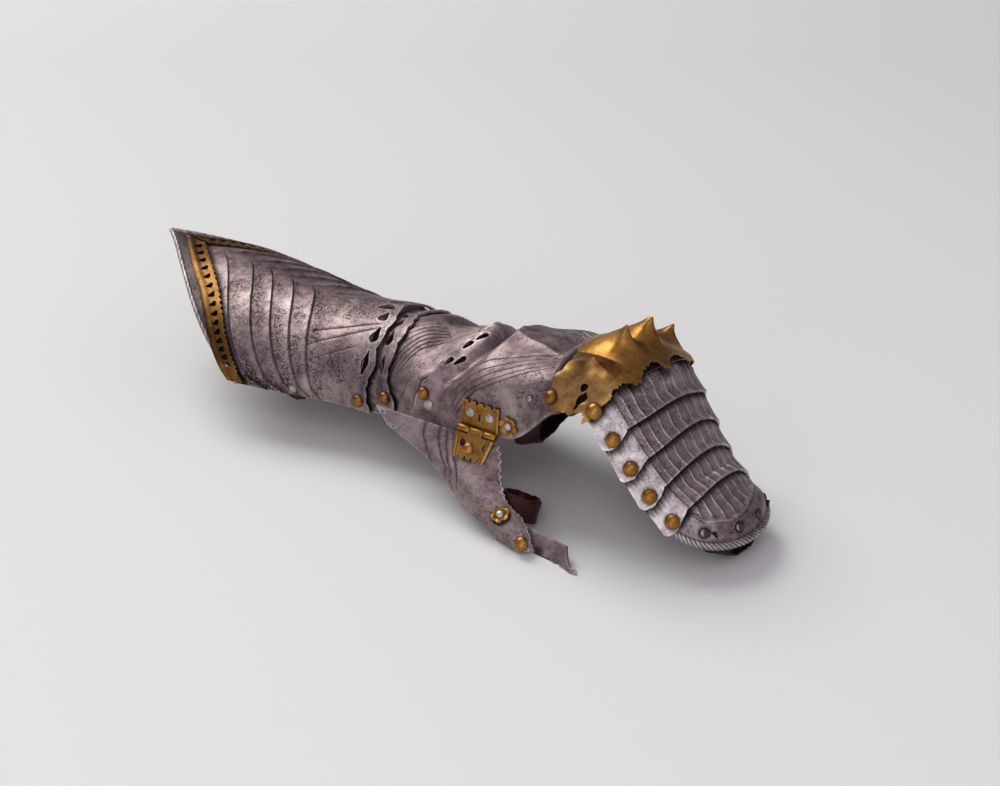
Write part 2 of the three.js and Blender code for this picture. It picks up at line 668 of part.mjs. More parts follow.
function thumbPlate() {
  const rows = thumbRibs.map((row) => spread(10).map(row));
  let body = solid(shell(rows, wall));
  const reach = hingeLength * barrelCutShare;
  body = body.subtract(rod(hinge, hingeAxis, barrelRadius + 2 * seatGap, reach, reach, barrelSides));
  return pierce(body, [lowerLeafSeat, rosetteSeats[1], tipRivetSeat]);
}
const lowerLeafSeat = { seat: onThumb(-lowerRivetBack, lowerLeafHeight * lowerRivetShare, barrelRadius),
  out: outThumb.clone() };
const thumbRibs = thumbShares.map((row) => (v) => thumbPoint(row, (1 + v) / 2));
const tipRivetSeat = { seat: pointOn(thumbRibs, ...tipRivetPlace).addScaledVector(outThumb, 1.5 * slideGap),
  out: outThumb.clone() };

// Rosette washers: one on the front metacarpal plate, one on the thumb plate
const rosetteSeats = [seatOn(frontRibs, ...frontRosettePlace), seatOn(thumbRibs, ...thumbRosettePlace)];
function rosette({ seat, out }) {
  const outline = new THREE.Shape(Array.from({ length: 5 * petals }, (_, i) => {
    const angle = 2 * Math.PI * i / (5 * petals);
    const radius = rosetteRadius * (1 - petalDepth * (1 - Math.abs(Math.cos(petals * angle / 2))));
    return new THREE.Vector2(radius * Math.cos(angle), radius * Math.sin(angle));
  }));
  const plate = new THREE.ExtrudeGeometry(outline, { depth: brassWall, bevelEnabled: false });
  plate.applyQuaternion(new THREE.Quaternion().setFromUnitVectors(new THREE.Vector3(0, 0, 1), out));
  plate.translate(seat.x + out.x * slideGap, seat.y + out.y * slideGap, seat.z + out.z * slideGap);
  return pierce(solid(plate), [{ seat, out }]);
}

// Lame at the end of the thumb plate, on the inside of it
const tipLamePlaces = [7.4, 8.6];
const tipLameWidthShare = 0.75;
const tipLameShares = [
  [0.87, 0.985, 0.95, 0.8, -0.55], [1.06, 1.02, 1.03, 0.91, 0.1], [1.14, 1, 1.13, 0.965, 0.2],
];
function thumbTipLame() {
  const rows = tipLamePlaces.map((t) => spread(4).map((v) => (
    pointOn(thumbRibs, t, v * tipLameWidthShare).addScaledVector(outThumb, -tipLameInset))));
  for (const [low, lowDrop, high, highDrop, lift] of tipLameShares) {
    rows.push(spread(4).map((v) => onThumb(thumbSpan * mix(low, high, (1 + v) / 2),
      thumbDrop * mix(lowDrop, highDrop, (1 + v) / 2), thumbBulge * lift)));
  }
  return aboveGround(drillSeat(solid(shell(rows, wall)), tipRivetSeat));
}
const drillSeat = (body, { seat, out }) => body.subtract(rod(seat, out, holeRadius, 5 * step, step));

// Leather: a band whose outer face follows key points, each with its outward direction
function band(keys, width) {
  const path = new THREE.CatmullRomCurve3(keys.map(([point]) => point));
  const facing = new THREE.CatmullRomCurve3(keys.map(([, out]) => out));
  const rows = Array.from({ length: bandSteps + 1 }, (_, i) => {
    const centre = path.getPoint(i / bandSteps);
    const along = path.getTangent(i / bandSteps);
    const across = facing.getPoint(i / bandSteps).cross(along).normalize().multiplyScalar(width / 2);
    return [centre.clone().sub(across), centre.clone().add(across)];
  });
  return solid(shell(rows, leatherWall));
}
// A loop that hangs between two seats on the inside of a plate
function hangingLoop(seats, bottom, width, rise, insets) {
  const down = new THREE.Vector3(0, 0, -1);
  const ends = seats.map(({ seat, out }) => {
    const fall = down.clone().addScaledVector(out, -down.dot(out)).normalize();
    return insets.map((inset, k) => [seat.clone().addScaledVector(fall, (k - 1) * rise)
      .addScaledVector(out, -wall - inset), out]);
  });
  const keys = [...ends[0], [bottom, down.clone()], ...ends[1].reverse()];
  return pierce(band(keys, width), seats);
}
function thumbLoop({ seat, out }) {
  const centre = onThumb(thumbLoopAlong, thumbLoopDrop, -thumbLoopInset);
  const inner = thumbLoopRadius - leatherWall;
  const corners = [[inner, 0], [thumbLoopRadius, 0], [thumbLoopRadius, loopWidth], [inner, loopWidth]];
  const ring = turned([...corners, corners[0]], centre, downThumb, 20);
  const meet = thumbLoopRadius - thumbLoopInset;
  const onRing = tabShares.map((share) => [
    onThumb(thumbLoopAlong, thumbLoopDrop + loopWidth * share, meet), outThumb]);
  const atSeat = [0, tabTail].map((k) => [seat.clone().addScaledVector(out, -wall - tabInset)
    .addScaledVector(downThumb, k), out]);
  return pierce(ring.add(band([...onRing, ...atSeat], tabWidth)), [{ seat, out }]);
}
const palmBottom = new THREE.Vector3(palmStrapX, handMid, palmStrapZ);
const groundAt = (x, y) => new THREE.Vector3(x, y, y * Math.tan(roll));

add('cuff_plate', cuffPlate(), steel);
add('cuff_border_near', cuffBorder(-1), brass);
add('cuff_border_far', cuffBorder(1), brass);
add('wrist_lame', wristLame(), steel);
add('rear_metacarpal_plate', rearPlate(), steel);
add('front_metacarpal_plate', frontPlate(), steel);
add('knuckle_plate', drillKnuckle(solid(shell(loft(knuckleRibs(0)), wall))), steel);
add('knuckle_cover', knuckleCover(), brass);
fingerFalls.forEach((_, i) => add(`finger_lame_${i + 1}`, fingerLame(i), steel));
add('fingertip_plate', fingertipPlate(), steel);
add('hinge_upper_leaf', pierce(leaf(upperLeafHeight, 0, upperTaperShare, 'ends'), upperLeafSeats), brass);
const lowerLeaf = leaf(lowerLeafHeight, Math.PI - slope, lowerTaperShare, 'middle');
add('hinge_lower_leaf', pierce(lowerLeaf, [lowerLeafSeat]), brass);
const pinHalf = hingeLength / 2 + seatGap;
add('hinge_pin', rod(hinge, hingeAxis, pinRadius, pinHalf, pinHalf), brass);
add('thumb_plate', thumbPlate(), steel);
add('thumb_tip_lame', thumbTipLame(), steel);
add('front_rosette', rosette(rosetteSeats[0]), brass);
add('thumb_rosette', rosette(rosetteSeats[1]), brass);
add('cuff_strap_stub_near', strapStub(nearStubShares, stubSeats[0]), leather);
add('cuff_strap_stub_far', strapStub(farStubShares, stubSeats[1]), leather);
add('palm_strap', hangingLoop(strapSeats, palmBottom, palmStrapWidth, strapRise, strapInsets), leather);
add('thumb_loop', aboveGround(thumbLoop(rosetteSeats[1])), leather);
const fingerBottom = groundAt(fingerLoopX, fingerLoopY);
const loopSeats = [liningSeats[0], liningSeats[3]];
const fingerLoop = hangingLoop(loopSeats, fingerBottom, fingerLoopWidth, loopRise, loopInsets);
add('finger_loop', aboveGround(fingerLoop), leather);

// Rivets: dome heads on the hinged plates, flat iron heads where only leather or a leaf is held
const stack = wall + step;
const small = { head: smallDomeRadius, height: smallDomeHeight, depth: stack + slideGap };
const large = { depth: stack };
const flat = { head: flatRadius, height: flatHeight, tail: smallTailRadius };
const pairOf = (at, lean, size, raised = 0) => sides.map((side) => {
  const { seat, out } = seatOf(at, lean, size, side);
  return { seat: seat.addScaledVector(out, raised), out };
});
const strapDepth = wall + strapInsets[1] + leatherWall + 2 * seatGap;
const knucklePairs = [pairOf(pivots.knuckle, leans.knuckle, atKnuckle, coverLift),
  pairOf(pivots.finger, leans.finger, atFingers, coverLift)];
const pairs = {
  cuff_rivet: [pairOf(pivots.cuff, leans.cuff, atCuff), small, brass],
  wrist_lame_rivet: [pairOf(pivots.lame, leans.lame, atLame), small, brass],
  metacarpal_rivet: [pairOf(pivots.palm, leans.palm, atPalm), small, brass],
  metacarpal_lock_rivet: [lockSeats, { ...flat, depth: stack }, iron],
  palm_strap_rivet: [strapSeats, { ...flat, head: smallRadius, depth: strapDepth }, iron],
  knuckle_rear_rivet: [knucklePairs[0], { head: rearDomeRadius, depth: stack + coverLift + seatGap }, brass],
  knuckle_front_rivet: [knucklePairs[1], { depth: stack + coverLift }, brass],
  cuff_strap_rivet: [stubSeats, { ...flat, depth: wall + 2 * seatGap + leatherWall }, iron],
};
fingerFalls.forEach((_, i) => {
  const seats = pairOf(fingerPivots[i + 1], leanOf(i + 1), lameSizes[i]);
  pairs[`finger_lame_${i + 1}_rivet`] = [seats, large, brass];
});
for (const [name, [seats, form, finish]] of Object.entries(pairs)) {
  ['near', 'far'].forEach((side, i) => {
    add(`${name}_${side}`, rivet(seats[i].seat, seats[i].out, form), finish);
  });
}
const held = wall + loopInset + leatherWall + seatGap;
const lift = ({ seat, out }, height) => seat.clone().addScaledVector(out, height);
const looped = [0, 3];
liningSeats.forEach(({ seat, out }, i) => {
  const depth = looped.includes(i) ? held : wall + 2 * seatGap;
  add(`lining_rivet_${i + 1}`, rivet(seat, out, { ...flat, depth }), iron);
});
upperLeafSeats.forEach(({ seat, out }, i) => {
  add(`hinge_rivet_${i + 1}`, rivet(seat, out, { ...flat, depth: leafWall + slideGap + wall }), iron);
});
add('hinge_rivet_3', rivet(lowerLeafSeat.seat, lowerLeafSeat.out,
  { ...small, depth: barrelRadius + wall }), brass);
const rosetteTop = slideGap + brassWall;
add('front_rosette_rivet', rivet(lift(rosetteSeats[0], rosetteTop), rosetteSeats[0].out,
  { ...flat, depth: rosetteTop + wall }), iron);
add('thumb_rosette_rivet', rivet(lift(rosetteSeats[1], rosetteTop), rosetteSeats[1].out,
  { ...flat, depth: rosetteTop + held }), iron);
add('thumb_tip_rivet', rivet(tipRivetSeat.seat, tipRivetSeat.out,
  { depth: tipLameInset + wall + 3 * slideGap, tail: smallTailRadius }), brass);

group.rotation.x = -roll;
group.updateMatrixWorld(true);
const placed = new THREE.Group();
placed.add(group);
const box = new THREE.Box3().setFromObject(placed, true);
const centre = box.getCenter(new THREE.Vector3());
placed.position.set(-centre.x, -centre.y, -box.min.z);

export default placed;
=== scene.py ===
"""Looks of a late fifteenth-century left-hand mitten gauntlet, lying on a pale table."""
import math

import bpy
import numpy as np
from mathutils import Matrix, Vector
from mathutils.geometry import delaunay_2d_cdt


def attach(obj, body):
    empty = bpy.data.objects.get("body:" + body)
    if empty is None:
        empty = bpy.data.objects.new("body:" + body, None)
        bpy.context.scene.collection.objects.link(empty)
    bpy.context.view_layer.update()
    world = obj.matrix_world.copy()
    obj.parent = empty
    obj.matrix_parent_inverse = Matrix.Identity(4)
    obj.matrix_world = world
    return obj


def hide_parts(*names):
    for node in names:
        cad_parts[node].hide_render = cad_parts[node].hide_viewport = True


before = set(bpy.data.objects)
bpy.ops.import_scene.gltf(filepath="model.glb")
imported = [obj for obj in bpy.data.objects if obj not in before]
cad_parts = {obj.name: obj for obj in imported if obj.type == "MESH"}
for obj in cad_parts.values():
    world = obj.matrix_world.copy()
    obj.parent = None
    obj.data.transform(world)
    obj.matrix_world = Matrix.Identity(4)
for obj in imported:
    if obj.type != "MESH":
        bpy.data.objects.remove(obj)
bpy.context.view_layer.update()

rad = math.radians

# The plates' own shape, in millimetres, in the frame that is rolled and shifted onto the table
WALL, SLIDE_GAP, SEAT_GAP, COVER_GAP, BRASS_WALL = 1.2, 0.6, 0.3, 0.55, 0.9
STEP = WALL + SLIDE_GAP
ROLL, TURN, TWIST = 7, -3, 4
SHIFT = np.array([31.9538, 6.5712, 0.0])
FOLD_SHARE, FLANGE_SHARE, SPRING_SHARE = 0.78, 0.7, 0.4


def mix(a, b, t):
    return a + (b - a) * t


def smooth(t):
    t = np.clip(t, 0, 1)
    return t * t * (3 - 2 * t)


def turn_z(a):
    return np.array([[math.cos(a), -math.sin(a), 0], [math.sin(a), math.cos(a), 0], [0, 0, 1]])


def turn_x(a):
    return np.array([[1, 0, 0], [0, math.cos(a), -math.sin(a)], [0, math.sin(a), math.cos(a)]])


HAND_CENTRE = np.array([60.0, -5.0, 60.0])
HAND_TURN = turn_z(rad(TURN)) @ turn_x(rad(-TWIST))
ROLL_TURN = turn_x(-rad(ROLL))


def place(points):
    placed = (np.asarray(points, float) @ ROLL_TURN.T + SHIFT) / 1000
    placed[..., 2] = np.maximum(placed[..., 2], 0)
    return placed


def to_hand(points):
    return (points - HAND_CENTRE) @ HAND_TURN.T + HAND_CENTRE


def unit(vectors):
    vectors = np.asarray(vectors, float)
    return vectors / np.maximum(np.linalg.norm(vectors, axis=-1, keepdims=True), 1e-12)


def bell(x, centre, width):
    """A smooth bump: 1 at the centre, fading over the width to both sides."""
    return np.exp(-((x - centre) / width) ** 2)


def tent(distance, width):
    """1 on a line, falling straight to 0 at the width from it."""
    return np.clip(1 - np.abs(distance) / width, 0, 1)


def around(count):
    return np.linspace(0, 2 * math.pi, count, endpoint=False)


def oval(x, y, half_x, half_y, count):
    return [(x + half_x * math.cos(a), y + half_y * math.sin(a)) for a in around(count)]


def ahead(start, span, rise):
    return (start[0] + span * math.cos(rad(rise)), start[1] + span * math.sin(rad(rise)))


CUFF = (-58.6, 25.1)
LAME = ahead(CUFF, 15.4, 20.6)
PALM = ahead(LAME, 25.9, 23.7)
KNUCKLE = ahead(PALM, 77.1, 13.9)
FINGERS = [ahead(KNUCKLE, 22.7, 1.3)]
for fall in (47, 49, 45, 36):
    FINGERS.append(ahead(FINGERS[-1], 14.8, -fall))


def rib(at, lean, size, turn=0.0):
    """A cross-section of a plate: an arch over a rivet pair, with a straight flange below each fold."""
    half, crown = size["half"], size["crown"]
    fold, slope, arc = size.get("fold", 0), size.get("slope", 0), rad(size.get("bend", 90))
    mid, peak, cut = size.get("mid", 0), size.get("peak", 0), size.get("cut", 0)
    near, far, hand = size.get("near", 6), size.get("far", 6), size.get("hand", False)
    fold_half = half - slope * fold

    def points(v):
        share, side = np.abs(v), np.sign(v)
        angle = arc * share / FOLD_SHARE
        on = share <= FOLD_SHARE
        arch = fold_half * np.sin(angle) / math.sin(arc)
        curve = (np.cos(angle) - math.cos(arc)) / (1 - math.cos(arc))
        top = fold + (crown - fold) * mix(curve, 1 - arch / fold_half, peak)
        low = mix(fold, -np.where(side < 0, near, far), (share - FOLD_SHARE) / (1 - FOLD_SHARE))
        rise = np.where(on, top, low)
        across = np.where(on, arch, half - slope * low)
        on_arch = np.clip(rise / max(fold, crown * SPRING_SHARE), 0, 1)
        tilt = np.radians(lean + turn - cut * np.maximum(0, 1 - (v / FOLD_SHARE) ** 2))
        base, along = rad(lean), crown * FLANGE_SHARE * math.sin(rad(turn))
        x = mix(rise * math.sin(base) + along * math.cos(base), rise * np.sin(tilt), on_arch)
        z = mix(rise * math.cos(base) - along * math.sin(base), rise * np.cos(tilt), on_arch)
        p = np.stack([at[0] + x, mid + side * across, at[1] + z], -1)
        return to_hand(p) if hand else p
    return points


def sweep(at, lean, size, start, end, count=3):
    return [rib(at, lean, size, mix(start, end, i / (count - 1))) for i in range(count)]


def inside(size):
    slope = math.hypot(1, size.get("slope", 0))
    return {**size, "half": size["half"] - STEP * slope, "crown": size["crown"] - STEP,
            "fold": max(0, size.get("fold", 0) - STEP * 0.6)}


class Loft:
    """A smooth surface through ribs: u runs along it in millimetres, v goes round it from -1 to 1."""

    def __init__(self, ribs, girth=60.0):
        self.ribs, self.girth = ribs, girth
        middle = np.array([r(np.array([0.0, -0.5, 0.5])) for r in ribs])
        self.gaps = np.linalg.norm(np.diff(middle, axis=0), axis=2).mean(1)
        self.knots = np.concatenate([[0], np.cumsum(self.gaps)])
        self.length = self.knots[-1]

    def u(self, t):
        return np.interp(t, np.arange(len(self.knots)), self.knots)

    def __call__(self, u, v):
        u, v = np.broadcast_arrays(np.asarray(u, float), np.asarray(v, float))
        rows = np.stack([r(v) for r in self.ribs])
        gaps, count = self.gaps, len(self.ribs)
        steps = np.diff(rows, axis=0) / gaps.reshape((-1,) + (1,) * v.ndim + (1,))
        slopes = np.empty_like(rows)
        slopes[0], slopes[-1] = steps[0], steps[-1]
        for i in range(1, count - 1):
            slopes[i] = (gaps[i - 1] * steps[i] + gaps[i] * steps[i - 1]) / (gaps[i - 1] + gaps[i])
        held = np.clip(u, 0, self.length)
        i = np.clip(np.searchsorted(self.knots, held, side="right") - 1, 0, count - 2)
        h = gaps[i][..., None]
        f = (held - self.knots[i])[..., None] / h
        pick = lambda array, k: np.take_along_axis(array, k[None, ..., None], 0)[0]
        a, b, ma, mb = pick(rows, i), pick(rows, i + 1), pick(slopes, i), pick(slopes, i + 1)
        inner = ((2 * f**3 - 3 * f**2 + 1) * a + (f**3 - 2 * f**2 + f) * h * ma
                 + (3 * f**2 - 2 * f**3) * b + (f**3 - f**2) * h * mb)
        over = (u - held)[..., None]
        return inner + over * np.where(over > 0, slopes[-1], slopes[0])


def frame_at(surface, u, v):
    """Point, outward normal and the two tangents of a surface."""
    step, turn = 0.05, 0.05 / surface.girth
    along = unit(surface(u + step, v) - surface(u - step, v))
    across = unit(surface(u, v + turn) - surface(u, v - turn))
    return surface(u, v), unit(np.cross(along, across)), along, across


def seat_on(surface, t, v):
    """Point and outward normal at a place given in ribs along and the place round."""
    return frame_at(surface, np.array(surface.u(t)), np.array(float(v)))[:2]


AT_CUFF = dict(half=38, crown=31.6)
AT_LAME = dict(half=37, crown=26.6, near=8, far=8)
AT_PALM = dict(half=37.5, crown=28.5, mid=-2, peak=0.3, near=9, far=9)
HAND = dict(hand=True, mid=-6.5, slope=0.45, fold=8.5, bend=72)
AT_KNUCKLE = {**HAND, "mid": -6.9, "half": 38.6, "crown": 18.2, "near": 8, "far": 8}
OVER_KNUCKLES = {**HAND, "mid": -6.9, "half": 38.6, "crown": 20.5, "near": 9, "far": 9}
AT_FINGERS = {**HAND, "mid": -6.9, "half": 38.6, "crown": 18.6}
LAME_SIZES = [{**HAND, "half": 37.5 - i * STEP * math.hypot(1, 0.45), "crown": 17.5} for i in range(4)]
LAME_LEANS = [48, 48, 44, 38]
LEAN_OF = [32] + LAME_LEANS
OVER_LAME = [AT_FINGERS] + LAME_SIZES

CUFF_FRONT = CUFF[0] + 2.5
CUFF_TIP = CUFF_FRONT - 152
CUFF_REAR = CUFF[0] - 66


class Cuff:
    """The flaring half tube of the cuff: here u is the place along X itself."""
    girth = 68.0

    def __init__(self, lift=0.0):
        self.lift = lift

    def __call__(self, x, v):
        x, v = np.broadcast_arrays(np.asarray(x, float), np.asarray(v, float))
        back = np.maximum(0, (CUFF[0] - x) / 66)
        half = 38 + 14 * smooth(back / 1.25) + self.lift
        spring = CUFF[1] - np.minimum(1, back)
        top = CUFF[1] + 31.6 - 1.5 * smooth(back) + 4 * np.maximum(0, back - 0.75) ** 1.5 + self.lift
        share, side = np.abs(v), np.sign(v)
        drop = np.where(side < 0, 5, mix(6, 19, smooth(back * 2)))
        k = (share - FOLD_SHARE) / (1 - FOLD_SHARE)
        angle = share / FOLD_SHARE * math.pi / 2
        ridge = 1.6 * np.maximum(0, 1 - share / FOLD_SHARE) ** 3
        on = share <= FOLD_SHARE
        y = np.where(on, side * half * np.sin(angle), side * half)
        z = np.where(on, spring + (top - spring) * np.cos(angle) + ridge, spring - drop * k)
        return np.stack([x, y, z], -1)


# How far the plates' top is raised or lowered at places along X, before it is smoothed
TOP_PLACES = [-185, -164, -145, -124, -110, -98, -79, -62, -50, -39, -33, -28, -22, -16, -11, -5, 1, 6, 12,
              18, 23, 29, 35, 40, 47, 55]
TOP_CHANGES = [0, 1.5, 2.1, 1.9, 0.6, 0.2, 1.2, 3.9, 4.5, 4.7, -0.4, -7.2, -6.0, -2.4, -0.5, 3.8, 6.2, 1.8,
               -2.7, -3.6, -3.3, -2.9, -2.4, -1.8, -0.6, 0]
TOP_STEP, TOP_SMOOTHING = 0.5, 3.0
TOP_END, TOP_FADE = 0.64, 0.47
fine_x = np.arange(-220, 75, TOP_STEP)
kernel = np.exp(-np.arange(-15, 15.5, TOP_STEP) ** 2 / (2 * TOP_SMOOTHING ** 2))
fine_change = np.convolve(np.interp(fine_x, TOP_PLACES, TOP_CHANGES), kernel / kernel.sum(), "same")


class Evened:
    """A plate's surface with its top moved to one smooth line over the wrist."""

    def __init__(self, surface):
        self.surface, self.girth = surface, surface.girth
        self.length, self.u = getattr(surface, "length", 0), getattr(surface, "u", None)

    def __call__(self, u, v):
        point = self.surface(u, v)
        change = np.interp(point[..., 0], fine_x, fine_change) * smooth((TOP_END - np.abs(v)) / TOP_FADE)
        return point + change[..., None] * np.array([0, 0, 1.0])


def cuff_edge(v):
    return mix(CUFF_TIP, CUFF_REAR, np.minimum(1, np.abs(v) / FOLD_SHARE) ** 0.9)


cuff = Evened(Cuff())
wrist = Evened(Loft(sweep(CUFF, 0, inside(AT_CUFF), -14, -2) + sweep(LAME, -17, AT_LAME, -4, 7), 56))
rear = Evened(Loft(sweep(LAME, -17, inside(AT_LAME), -14, 14)
                   + sweep(PALM, 24, {**inside(AT_PALM), "near": 12, "far": 12}, -16, -2, 2)
                   + sweep(PALM, 24, inside(AT_PALM), 12, 26, 2), 56))


def on_palm(share):
    return (mix(PALM[0], KNUCKLE[0], share), mix(PALM[1], KNUCKLE[1], share))


front = Evened(Loft(sweep(PALM, 24, AT_PALM, 0, 28) + [
    rib(on_palm(0.36), 9, dict(half=37.6, crown=26, fold=3, bend=82, mid=-4.8, peak=0.28, near=13, far=9)),
    rib(on_palm(0.66), -6, dict(half=37.6, crown=22, fold=6, bend=76, mid=-4.8, peak=0.2, near=19, far=12))]
    + sweep(KNUCKLE, -24, {**inside(AT_KNUCKLE), "near": 7, "far": 7}, -8, 12), 58))
KNUCKLE_MIDDLE = (mix(KNUCKLE[0], FINGERS[0][0], 0.5), mix(KNUCKLE[1], FINGERS[0][1], 0.5))


def knuckle_ribs(lift, flange):
    grow = lambda s: {**s, "half": s["half"] + lift * math.hypot(1, 0.45), "crown": s["crown"] + lift,
                      "fold": s["fold"] + lift / 2, **flange}
    return (sweep(KNUCKLE, -24, grow(AT_KNUCKLE), -6, 10, 2) + [rib(KNUCKLE_MIDDLE, 6, grow(OVER_KNUCKLES))]
            + sweep(FINGERS[0], 32, grow(AT_FINGERS), -12, 6, 3))


COVER_LIFT = COVER_GAP + BRASS_WALL
knuckle = Loft(knuckle_ribs(0, {}), 52)
cover = Loft(knuckle_ribs(COVER_LIFT, dict(near=3.5, far=3.5)), 52)
lames = [Loft(sweep(FINGERS[i], LEAN_OF[i], inside(OVER_LAME[i]), -12, 13)
              + sweep(FINGERS[i + 1], LEAN_OF[i + 1], {**LAME_SIZES[i], "cut": 8}, -20, 4), 50)
         for i in range(4)]


def rim_point(v):
    v = np.asarray(v, float)
    angle = v * math.pi / 2
    x = FINGERS[4][0] - 3.4 * (1 - 2 * np.maximum(0, v) ** 2) + 28.4 * np.cos(angle)
    y = -6.5 + 29.6 * np.sin(angle)
    z = FINGERS[4][1] - 3.6 - 0.11 * 28.4 * np.cos(angle) + 0.17 * (y + 6.5) * (1 - v ** 4)
    return to_hand(np.stack([x, y, z], -1))


def tip_rib(k):
    high = rib(FINGERS[4], 38, {**inside(LAME_SIZES[3]), "far": 2.6}, 14)
    out = HAND_TURN @ np.array([0.7, 0, 0.5])

    def points(v):
        bulge = 4.5 * math.sin(math.pi * k) * (1 - np.asarray(v) ** 2)
        return mix(high(v), rim_point(v), k) + out * bulge[..., None]
    return points


fingertip = Loft(sweep(FINGERS[4], 38, {**inside(LAME_SIZES[3]), "far": 2.6}, -12, 14)
                 + [tip_rib(k) for k in (0.2, 0.45, 0.72, 1.0)], 46)

HINGE = np.array([14, -44.9, 33.2])
SLOPE = rad(26.1)
DOWN = np.array([0, -math.sin(SLOPE), -math.cos(SLOPE)])
OUT = np.array([0, -math.cos(SLOPE), math.sin(SLOPE)])
ALONG = np.array([1.0, 0, 0])
THUMB_SPAN, THUMB_DROP = 60, 45
BARREL, LEAF_WALL, HINGE_LENGTH, MIDDLE_LENGTH = 1.9, 0.8, 20.5, 7.5
UPPER_LEAF, LOWER_LEAF = 14.0, 13.5


def on_thumb(a, b, c):
    a, b, c = np.broadcast_arrays(*(np.asarray(q, float) for q in (a, b, c)))
    return HINGE + a[..., None] * ALONG + b[..., None] * DOWN + c[..., None] * OUT


THUMB_SHARES = [
    [-0.94, 0.06, 0.2, 0.06, 0], [-0.8, 0.21, 0.25, 0.16, 0.06], [-0.61, 0.3, 0.29, 0.31, 0.15],
    [-0.32, 0.44, 0.345, 0.45, 0.5], [-0.13, 0.6, 0.41, 0.56, 0.8], [0.08, 0.78, 0.51, 0.63, 0.95],
    [0.31, 0.88, 0.595, 0.68, 1], [0.42, 0.95, 0.68, 0.79, 0.8], [0.52, 0.985, 0.735, 0.9, 0.6],
    [0.59, 1.015, 0.77, 0.95, 0.5]]


def thumb_row(row):
    left, left_drop, right, right_drop, bulge = row

    def points(v):
        k = (1 + np.asarray(v, float)) / 2
        return on_thumb(THUMB_SPAN * mix(left, right, k), THUMB_DROP * mix(left_drop, right_drop, k),
                        5 * bulge * (1 - (2 * k - 1) ** 2))
    return points


thumb = Loft([thumb_row(r) for r in THUMB_SHARES], 24)
TIP_INSET = 3.4


class TipLame:
    """The lame at the thumb's tip: u is minus the place along the thumb, v the drop below the hinge."""
    girth = 1.0

    def __call__(self, u, v):
        return on_thumb(-u, v, -3.2 + 4.2 * smooth((-u - 50) / 18))


class Flat:
    """A flat face: u and v are millimetres along two directions from an origin."""
    girth = 1.0

    def __init__(self, origin, along, across):
        self.origin, self.along, self.across = origin, unit(along), unit(across)

    def __call__(self, u, v):
        u, v = np.broadcast_arrays(np.asarray(u, float), np.asarray(v, float))
        return self.origin + u[..., None] * self.along + v[..., None] * self.across


# Meshes
def inside_polygon(points, polygon):
    hit = np.zeros(len(points), bool)
    x, y = points[:, 0], points[:, 1]
    for (x1, y1), (x2, y2) in zip(polygon, np.roll(polygon, -1, axis=0)):
        crosses = (y1 > y) != (y2 > y)
        if y1 != y2:
            hit ^= crosses & (x < (x2 - x1) * (y - y1) / (y2 - y1) + x1)
    return hit


def near_lines(points, loops, reach):
    """Which points lie closer than reach to the loops' own points."""
    cells = {}
    for loop in loops:
        for p in loop:
            cells.setdefault((int(p[0] // reach), int(p[1] // reach)), []).append(p)
    close = np.zeros(len(points), bool)
    keys = np.floor(points / reach).astype(int)
    for i, (a, b) in enumerate(keys):
        for da in (-1, 0, 1):
            for db in (-1, 0, 1):
                for p in cells.get((a + da, b + db), ()):
                    if (p[0] - points[i, 0]) ** 2 + (p[1] - points[i, 1]) ** 2 < reach * reach:
                        close[i] = True
    return close


def resample(loop, gap):
    loop = np.asarray(loop, float)
    ends = np.roll(loop, -1, axis=0)
    out = []
    for a, b in zip(loop, ends):
        count = max(1, int(np.linalg.norm(b - a) / gap))
        out += [mix(a, b, k / count) for k in range(count)]
    return np.array(out)


def mesh_object(name, points, faces, material, sharp):
    mesh = bpy.data.meshes.new(name)
    mesh.from_pydata([tuple(p) for p in points], [], faces)
    mesh.update()
    mesh.shade_smooth()
    mesh.set_sharp_from_angle(angle=rad(sharp))
    mesh.materials.append(material)
    piece = bpy.data.objects.new(name, mesh)
    bpy.context.scene.collection.objects.link(piece)
    return piece


def finish_piece(piece, body, node):
    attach(piece, body)
    for n in ([node] if isinstance(node, str) else node or []):
        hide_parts(n)
    return piece


def paint(piece, label, values):
    layer = piece.data.attributes.new(label, "FLOAT", "POINT")
    layer.data.foreach_set("value", np.clip(values, 0, 1).astype(np.float32))


def near_points(points, others, start, reach):
    """1 within start of the other points, falling to 0 at reach beyond it."""
    nearest = np.full(len(points), 1e9)
    for i in range(0, len(points), 4000):
        nearest[i:i + 4000] = np.linalg.norm(points[i:i + 4000, None] - others[None], axis=2).min(1)
    return np.clip(1 - (nearest - start) / reach, 0, 1)


def offset_line(line, distance):
    side = np.gradient(line, axis=0)
    side = unit(np.stack([-side[:, 1], side[:, 0]], -1))
    return line + side * distance


